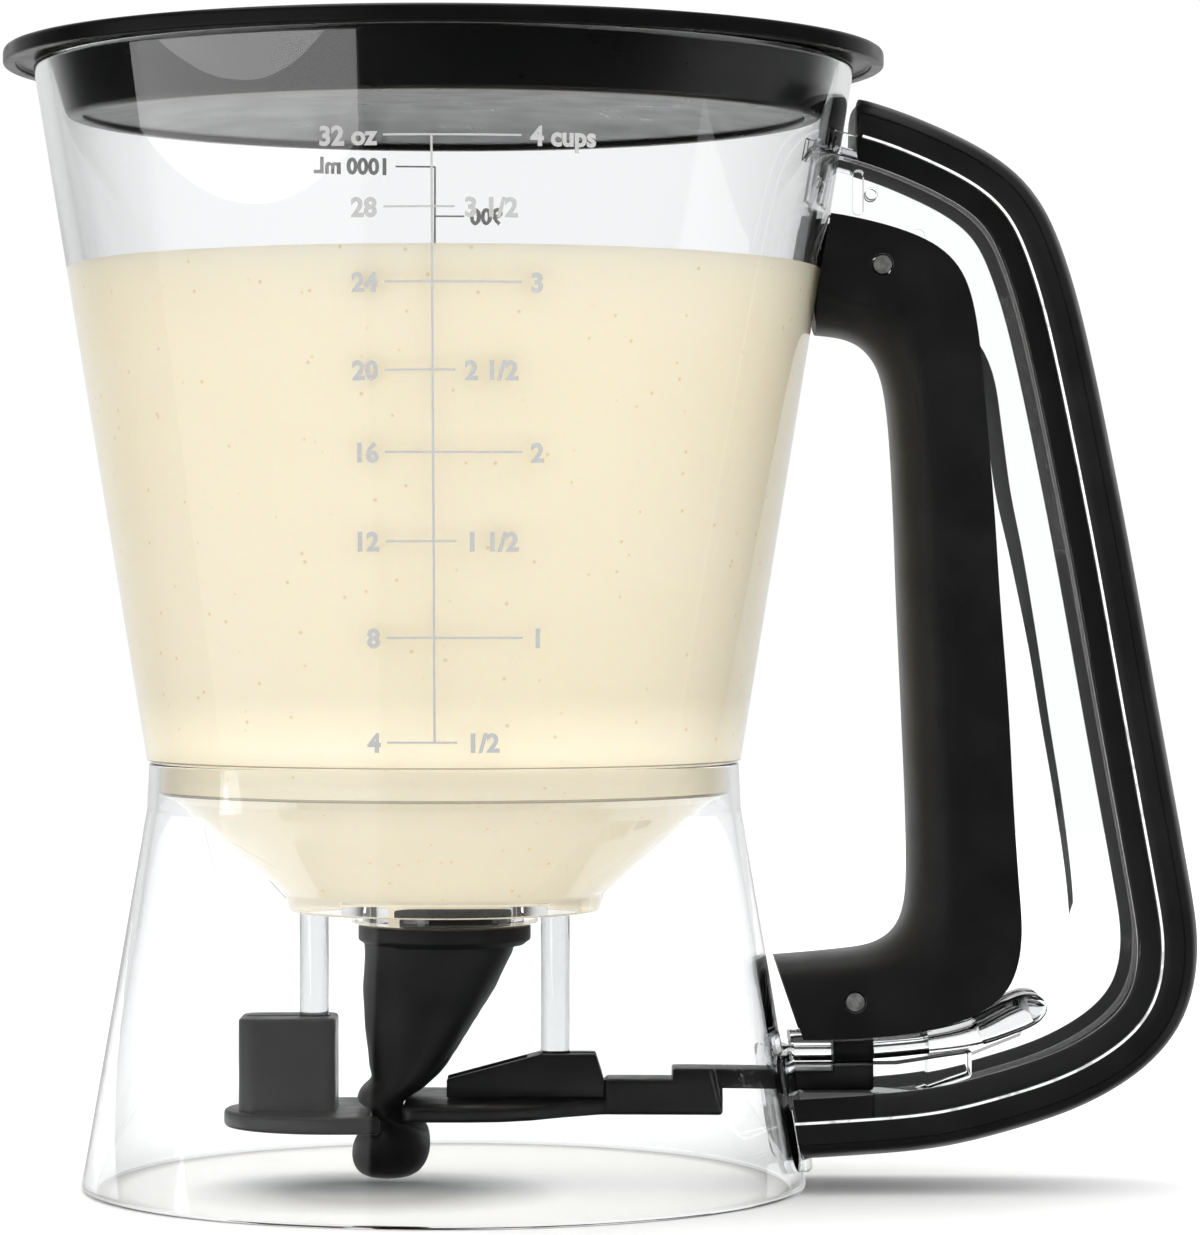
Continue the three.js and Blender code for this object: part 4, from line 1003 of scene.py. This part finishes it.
def makeSpring():
    px, pz = handle["pivot"]
    radius = spring["radius"]
    centres = [(px + spring["longLeg"], spring["startY"], pz + radius)]
    for i in range(round(spring["turns"] * spring["steps"]) + 1):
        angle = math.pi / 2 + 2 * math.pi * i / spring["steps"]
        centres.append((px + radius * math.cos(angle), spring["startY"] + spring["pitch"] * i / spring["steps"],
                        pz + radius * math.sin(angle)))
    end = centres[-1]
    centres.append((end[0], end[1], end[2] - spring["shortLeg"]))
    rings = []
    for i, p in enumerate(centres):
        q, r = centres[max(i - 1, 0)], centres[min(i + 1, len(centres) - 1)]
        along = Vector((r[0] - q[0], r[2] - q[2])).normalized()
        ring = []
        for k in range(spring["sides"]):
            angle = 2 * math.pi * k / spring["sides"]
            out, side = spring["wire"] * math.cos(angle), spring["wire"] * math.sin(angle)
            ring.append((p[0] - along.y * out, p[1] + side, p[2] + along.x * out))
        rings.append(ring)
    return loft("returnSpring", rings, sharp=60)


dressed(makeSpring(), steel, "jug", "return_spring")


# Valve, jaws, guide and slider

print("stage: valve")
valveShape = {
    # Height, centre along X, and half the width along X and Y, from the top down.
    "down": [
        (38.6, -0.9, 12.0, 11.9), (37.2, -0.95, 11.85, 11.8), (34.4, -1.7, 11.2, 11.6),
        (31.4, -2.5, 10.6, 11.5), (28.2, -3.4, 9.5, 11.6), (25, -4.3, 8.4, 11.8), (21.8, -5.1, 7.2, 12.0),
        (18.9, -5.9, 6.1, 12.2), (17.6, -6.3, 5.35, 12.3), (16.6, -7.1, 5.0, 12.4), (15.6, -8.2, 5.0, 12.5),
        (14.6, -9.3, 4.5, 12.5), (13.6, -10.0, 3.8, 12.5), (12.7, -9.3, 2.7, 12.5), (12.2, -9.1, 2.5, 12.5),
        (11.5, -9.1, 2.5, 12.4), (11.0, -8.2, 3.4, 12.0), (10.3, -7.6, 4.0, 11.4), (9.4, -7.3, 4.3, 10.8),
        (8.8, -7.8, 5.2, 10.3), (7.4, -8.3, 5.95, 9.9), (5.6, -8.55, 6.2, 9.2), (3.8, -8.75, 5.9, 8.0),
        (2.3, -8.9, 5.0, 6.2), (1.4, -9.0, 3.6, 4.2), (0.98, -9.05, 1.8, 2.0)],
    "rings": 110, "sides": 72, "power": 0.9, "wall": 2, "boreFoot": 14.5,
    "flange": [(0, 38.3), (12.6, 38.3, 0.3), (13.8, 39.2, 0.5), (13.8, 41.5, 0.4), (10.7, 41.5, 0.2),
               (10.7, 45.9, 0.5), (0, 45.9)],
    "throat": [(0, 37.9), (9.1, 37.9), (9.1, 60), (0, 60)],
    "slit": (-14, -4, -0.3, 0.3, -2, 3.2),
    "pinched": ((-11.93, 0, 12.31), (-8.6, 0, 9.19)),
}


def valveRing(values, inset=0.0):
    z, cx, rx, ry = values
    made = []
    for k in range(valveShape["sides"]):
        angle = 2 * math.pi * k / valveShape["sides"]
        c, s = math.cos(angle), math.sin(angle)
        c = math.copysign(abs(c) ** valveShape["power"], c)
        s = math.copysign(abs(s) ** valveShape["power"], s)
        made.append((cx + max(rx - inset, 0.2) * c, (ry - inset) * s, z))
    return made


def makeValve():
    lines = flowing(valveShape["down"], valveShape["rings"], relax=1)
    wall = valveShape["wall"]
    outer = loft("siliconeValve", [valveRing(v) for v in lines], sharp=50)
    mouth = [(p[0], p[1], 60) for p in valveRing(lines[0], wall)]
    bore = loft("bore", [mouth] + [valveRing(v, wall) for v in lines if v[0] > valveShape["boreFoot"]])
    flange = turned("flange", rounded(valveShape["flange"]), 96)
    throat = turned("throat", valveShape["throat"], 96)
    return carved(fused(outer, [flange]), [bore, throat, box("slit", *valveShape["slit"])], 45)


valve = makeValve()
valve.data.materials.clear()
valve.data.materials.append(siliconeBlack)
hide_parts("silicone_valve")
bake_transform(valve)


jaw = {
    "right": [(-11.9, 11.2), (-9.9, 13.3, 0.6), (-9.5, 16, 1.6), (-16, 16)],
    "endX": -17.5, "endLength": 17.8, "halfWidth": 16, "endSteps": 14,
    "plate": (9.5, 12.2), "plateCorner": 0.8, "boss": (10.5, 26.9), "bossCorner": 0.5,
    "bossOutline": [(-32.7, -7, 3), (-17.2, -7, 3), (-17.2, 7, 3), (-32.7, 7, 3)],
    "finSlot": (-31.6, -20.9, -1.1, 1.1, 15.3, 40),
}


# Hole for the foot of a post.
def socket(x, low):
    return turned("socket", [(0, low), (2.7, low), (2.7, 40), (0, 40)], 40, (x, 0))


def makeFixedJaw():
    left = []
    for i in range(jaw["endSteps"]):
        angle = math.pi / 2 * i / jaw["endSteps"]
        left.append((jaw["endX"] - jaw["endLength"] * math.sin(angle), jaw["halfWidth"] * math.cos(angle)))
    upper = rounded([*jaw["right"], *left])
    outline = upper + [(jaw["endX"] - jaw["endLength"], 0)] + [(x, -y) for x, y in reversed(upper)]
    plate = softened(slab("fixedJaw", outline, *jaw["plate"], "xy"), jaw["plateCorner"], 4, 50)
    boss = softened(slab("boss", rounded(jaw["bossOutline"], 6), *jaw["boss"], "xy"), jaw["bossCorner"], 3, 50)
    return carved(fused(plate, [boss]), [socket(-20.9, 15.3), box("finSlot", *jaw["finSlot"])], 40)


guide = {
    "outline": [(0.4, 14.1), (25.4, 14.1), (25.4, 17), (24.2, 21, 0.5), (15.4, 21, 1.5), (0.4, 17, 0.3)],
    "half": 3.7, "corner": 0.35,
    "cuts": {"track": (-20, 60, -2.5, 2.5, 15.3, 17.4), "neckSlot": (-20, 60, -1.25, 1.25, 0, 17),
             "openTop": (-20, 13.2, -2.5, 2.5, 15.3, 60), "finSlot": (17.75, 30, -1.1, 1.1, 17.9, 40)},
}


def makeGuide():
    body = slab("sliderGuide", rounded(guide["outline"], 4), -guide["half"], guide["half"])
    cuts = [box(name, *sizes) for name, sizes in guide["cuts"].items()]
    return carved(softened(body, guide["corner"], 3, 50), cuts[:3] + [socket(17.75, 17.9)] + cuts[3:], 40)


slider = {
    "plate": [(-6.3, 0), (-6.3, 16, 2), (4, 16, 6), (9.5, 15.4, 8), (14.5, 12.8, 8), (19, 8.6, 8), (25.2, 4, 3),
              (26.5, 4)],
    "plateZ": (11.4, 13.8),
    # Each with the size of its rounded edges last.
    "blocks": {"bar": (25.7, 44.4, -4, 4, 11.4, 17.1, 0.6), "tongue": (36.4, 68.45, -4, 4, 15.7, 18.8, 0.4),
               "riser": (61.95, 68.45, -4, 4, 15.7, 33.4, 0.5)},
    "neck": (1.6, 27, -0.95, 0.95, 12.4, 15.9), "rib": (1.6, 27, -2.2, 2.2, 15.6, 16.8),
    "eyeHalf": (1.8, 1.95, 1.7),  # along X, along Z, and the radius of its corners
}


def makeSlider():
    upper = rounded(slider["plate"], 6)
    outline = upper + [(x, -y) for x, y in reversed(upper)]
    plate = softened(slab("pinchSlider", outline[1:-1], *slider["plateZ"], "xy"), 0.6, 3, 50)
    parts = [softened(box(name, *sizes[:6]), sizes[6], 3, 50) for name, sizes in slider["blocks"].items()]
    parts += [box(name, *slider[name]) for name in ("neck", "rib")]
    (x, z), (wide, high, corner) = handle["link"], slider["eyeHalf"]
    eye = slab("eye", rounded([(x - wide, z - high, corner), (x + wide, z - high, corner),
                               (x + wide, z + high, corner), (x - wide, z + high, corner)], 8), -10, 10)
    return carved(fused(plate, parts), [eye], 40)


dressed(makeFixedJaw(), mouldedBlack, "jug", "fixed_jaw")
dressed(makeGuide(), mouldedBlack, "jug", "slider_guide")
dressed(makeSlider(), mouldedBlack, "slider", "pinch_slider")


# Batter, floor, lights, world and camera

print("stage: batter and surroundings")
batter = {
    "top": 147.0, "dip": 2.2,
    "bite": 0.12,  # how far it reaches into the wall, so that no air shows between them
    "wallFoot": (43.2, 68.5), "wallRim": (63.1, 179),  # the cone's inside, as radius and height
    "colour": (0.965, 0.88, 0.71), "band": (0.95, 0.86, 0.67), "speck": (0.8, 0.66, 0.42), "glow": 0.42,
}


def makeBatter():
    b, top, dip = batter["bite"], batter["top"], batter["dip"]
    (foot, footZ), (rim, rimZ) = batter["wallFoot"], batter["wallRim"]
    edge = foot + (top - footZ) * (rim - foot) / (rimZ - footZ)
    profile = rounded([
        (0, 40.0), (9.0, 40.0), (9.0, 46.2), (11 + b, 46.2), (11 + b, 46.9 - b), (24.3 + b, 46.9 - b, 2),
        (30 + b, 53 - b, 6), (35.5 + b, 58.0 - b, 6), (39.2 + b, 61.6 - b, 5), (foot + b, 65.5, 3),
        (foot + b, footZ, 3), (edge + b, top), (edge - 1.6, top - 1.4, 1.2), (edge - 6, top - dip, 5),
        (0, top - dip)])
    return turned("batter", profile, sharp=50)


def batterMaterial():
    s = Shader("batter").set(rough=0.45, under=0.25, underRadius=(1.0, 0.7, 0.4), underScale=0.004, ior=1.42)
    base = s.tint(s.noise(14, 3, 0.5, (1, 1, 2.4)), batter["band"], batter["colour"], 0.35, 0.6)
    speck = s.add("ShaderNodeTexVoronoi", Scale=300.0)
    where = s.add("ShaderNodeTexCoord")
    s.link(where.outputs["Object"], speck.inputs["Vector"])
    mix = s.add("ShaderNodeMix", data_type="RGBA")
    s.link(s.spread(speck.outputs["Distance"], 1.0, 0.0, 0.05, 0.12), mix.inputs["Factor"])
    s.link(base, mix.inputs["A"])
    mix.inputs["B"].default_value = (*batter["speck"], 1)
    s.link(mix.outputs["Result"], s.main.inputs["Base Color"])
    # Painted light: the batter glows in its bowl and on its upward-facing top, lifting parts that the lamps
    # leave dim.
    split, facing = s.add("ShaderNodeSeparateXYZ"), s.add("ShaderNodeSeparateXYZ")
    s.link(where.outputs["Object"], split.inputs["Vector"])
    s.link(s.add("ShaderNodeNewGeometry").outputs["Normal"], facing.inputs["Vector"])
    batterPaintedGlow = s.add("ShaderNodeMath", operation="ADD")
    s.link(s.spread(split.outputs["Z"], batter["glow"], 0.0, 0.064, 0.079), batterPaintedGlow.inputs[0])
    s.link(s.spread(facing.outputs["Z"], 0.0, batter["glow"], 0.6, 0.95), batterPaintedGlow.inputs[1])
    s.link(mix.outputs["Result"], s.main.inputs["Emission Color"])
    s.link(batterPaintedGlow.outputs["Value"], s.main.inputs["Emission Strength"])
    return s.material


dressed(evened(makeBatter()), batterMaterial(), "jug")

ground = {
    "corners": [(-0.4, -0.16, 0), (0.9, -0.16, 0), (0.9, 1.2, 0), (-0.4, 1.2, 0)],
    "dark": (0.7, 0.7, 0.7), "light": (0.72, 0.72, 0.72), "floorGlowPaint": (1, 1, 0.99, 1),
    # Painted glow: centre, then the two distances from it and the strength at each; the second ring paints a
    # shadow under the valve.
    "rings": [((axisX, 0, 0), 0.051, 0.0565, 0.46, 0.0), ((axisX - 0.011, -0.011, 0), 0.013, 0.031, 0.0, 1.0)],
}


# Painted light: the floor glows inside the skirt's foot, fading to nothing under the valve as a painted shadow.
def floorMaterial():
    s = Shader("floorWhite").set(rough=0.9, shine=0.0)
    s.link(s.tint(s.noise(6, 3), ground["dark"], ground["light"]), s.main.inputs["Base Color"])
    where = s.add("ShaderNodeTexCoord")
    both = s.add("ShaderNodeMath", operation="MULTIPLY")
    for i, (centre, near, far, low, high) in enumerate(ground["rings"]):
        away = s.add("ShaderNodeVectorMath", operation="DISTANCE")
        away.inputs[1].default_value = centre
        s.link(where.outputs["Object"], away.inputs[0])
        s.link(s.spread(away.outputs["Value"], low, high, near, far), both.inputs[i])
    s.main.inputs["Emission Color"].default_value = ground["floorGlowPaint"]
    s.link(both.outputs["Value"], s.main.inputs["Emission Strength"])
    return s.material


floorMesh = bpy.data.meshes.new("floor")
floorMesh.from_pydata(ground["corners"], [], [(0, 1, 2, 3)])
floorMesh.materials.append(floorMaterial())
floor = bpy.data.objects.new("floor", floorMesh)
bpy.context.scene.collection.objects.link(floor)
floor.visible_glossy = False


def panel(name, centre, target, width, height, power, diffuse=True, roll=0):
    data = bpy.data.lights.new(name, "AREA")
    data.shape = "RECTANGLE"
    data.size, data.size_y = width, height
    data.energy = power
    lamp = bpy.data.objects.new(name, data)
    bpy.context.scene.collection.objects.link(lamp)
    lamp.location = centre
    facing = (Vector(target) - Vector(centre)).to_track_quat("-Z", "Y").to_matrix()
    lamp.rotation_euler = (facing @ Matrix.Rotation(math.radians(roll), 3, "Z")).to_euler()
    lamp.visible_camera = False
    lamp.visible_diffuse = diffuse
    return lamp


# The side boxes are mostly for reflections; the one above also lights and shades.
lights = {
    "leftStrip": {"centre": (-0.76, -0.48, 0.013), "target": (0, 0, 0.013), "width": 1.25, "height": 0.056,
                  "power": 0.58, "roll": -5.3, "diffuse": False},
    "leftWall": {"centre": (-0.80, -0.505, 0.05), "target": (0, 0, 0.05), "width": 1.3, "height": 1.2,
                 "power": 2.2, "diffuse": False},
    "rightLow": {"centre": (0.9, 0.03, -0.45), "target": (0, 0, -0.3), "width": 0.8, "height": 0.45,
                 "power": 0.5, "diffuse": False},
    "top": {"centre": (-0.1, 0.15, 1.0), "target": (0, 0, 0.1), "width": 0.7, "height": 0.5, "power": 4},
}
for name, values in lights.items():
    panel(name, **values)


studio = {"seen": 1.03, "through": 1.08, "aside": 0.4, "ambientLeft": 1.46, "ambientRight": 2.3, "dark": 0.03,
          "overhead": 0.14, "backdrop": 0.85}


# Bounced light is nearly even. Clear parts show a bright surround that is darker overhead and underfoot.
# A reflection finds the backdrop, a pale ceiling and an otherwise dark room.
def makeWorld():
    world = bpy.data.worlds.new("studio")
    world.use_nodes = True
    world.cycles.sampling_method = "NONE"
    tree = world.node_tree
    tree.nodes.clear()
    add = lambda kind: tree.nodes.new(kind)
    out, path = add("ShaderNodeOutputWorld"), add("ShaderNodeLightPath")
    where, split = add("ShaderNodeTexCoord"), add("ShaderNodeSeparateXYZ")
    tree.links.new(where.outputs["Generated"], split.inputs["Vector"])

    def glow(strength):
        node = add("ShaderNodeBackground")
        node.inputs["Color"].default_value = (1, 1, 1, 1)
        if isinstance(strength, float):
            node.inputs["Strength"].default_value = strength
        else:
            tree.links.new(strength, node.inputs["Strength"])
        return node.outputs["Background"]

    def ranged(source, low, high, start, end):
        node = add("ShaderNodeMapRange")
        node.interpolation_type = "SMOOTHSTEP"
        for key, value in (("From Min", start), ("From Max", end), ("To Min", low), ("To Max", high)):
            node.inputs[key].default_value = value
        tree.links.new(source, node.inputs["Value"])
        return node.outputs["Result"]

    def mixed(factor, first, second):
        node = add("ShaderNodeMixShader")
        tree.links.new(factor, node.inputs["Fac"])
        tree.links.new(first, node.inputs[1])
        tree.links.new(second, node.inputs[2])
        return node.outputs["Shader"]

    def some(depth):
        node = add("ShaderNodeMath")
        node.operation = "GREATER_THAN"
        node.inputs[1].default_value = 0.5
        tree.links.new(path.outputs[depth], node.inputs[0])
        return node.outputs["Value"]

    higher = add("ShaderNodeMath")
    higher.operation = "MAXIMUM"
    tree.links.new(ranged(split.outputs["Z"], studio["dark"], studio["overhead"], 0.2, 1.0), higher.inputs[0])
    tree.links.new(ranged(split.outputs["Y"], studio["dark"], studio["backdrop"], 0.55, 0.95), higher.inputs[1])
    reflected = glow(higher.outputs["Value"])
    ambient = glow(ranged(split.outputs["X"], studio["ambientLeft"], studio["ambientRight"], -1.0, 1.0))
    steep = add("ShaderNodeMath")
    steep.operation = "ABSOLUTE"
    tree.links.new(split.outputs["Z"], steep.inputs[0])
    through = glow(ranged(steep.outputs["Value"], studio["through"], studio["aside"], 0.3, 0.85))
    shader = mixed(some("Glossy Depth"), through, reflected)
    shader = mixed(some("Diffuse Depth"), shader, ambient)
    shader = mixed(path.outputs["Is Camera Ray"], shader, glow(studio["seen"]))
    tree.links.new(shader, out.inputs["Surface"])
    bpy.context.scene.world = world


makeWorld()

view = {"eye": (-0.00015, -0.812, 0.0947), "lens": 147.9, "sensor": 36, "shiftY": -0.01903, "clip": 0.05}
cameraData = bpy.data.cameras.new("camera")
cameraData.lens = view["lens"]
cameraData.sensor_width = view["sensor"]
cameraData.sensor_fit = "AUTO"
cameraData.shift_y = view["shiftY"]
cameraData.clip_start = view["clip"]
camera = bpy.data.objects.new("camera", cameraData)
bpy.context.scene.collection.objects.link(camera)
camera.location = view["eye"]
camera.rotation_euler = (math.pi / 2, 0, 0)
bpy.context.scene.camera = camera
bpy.context.scene.view_settings.view_transform = "Standard"
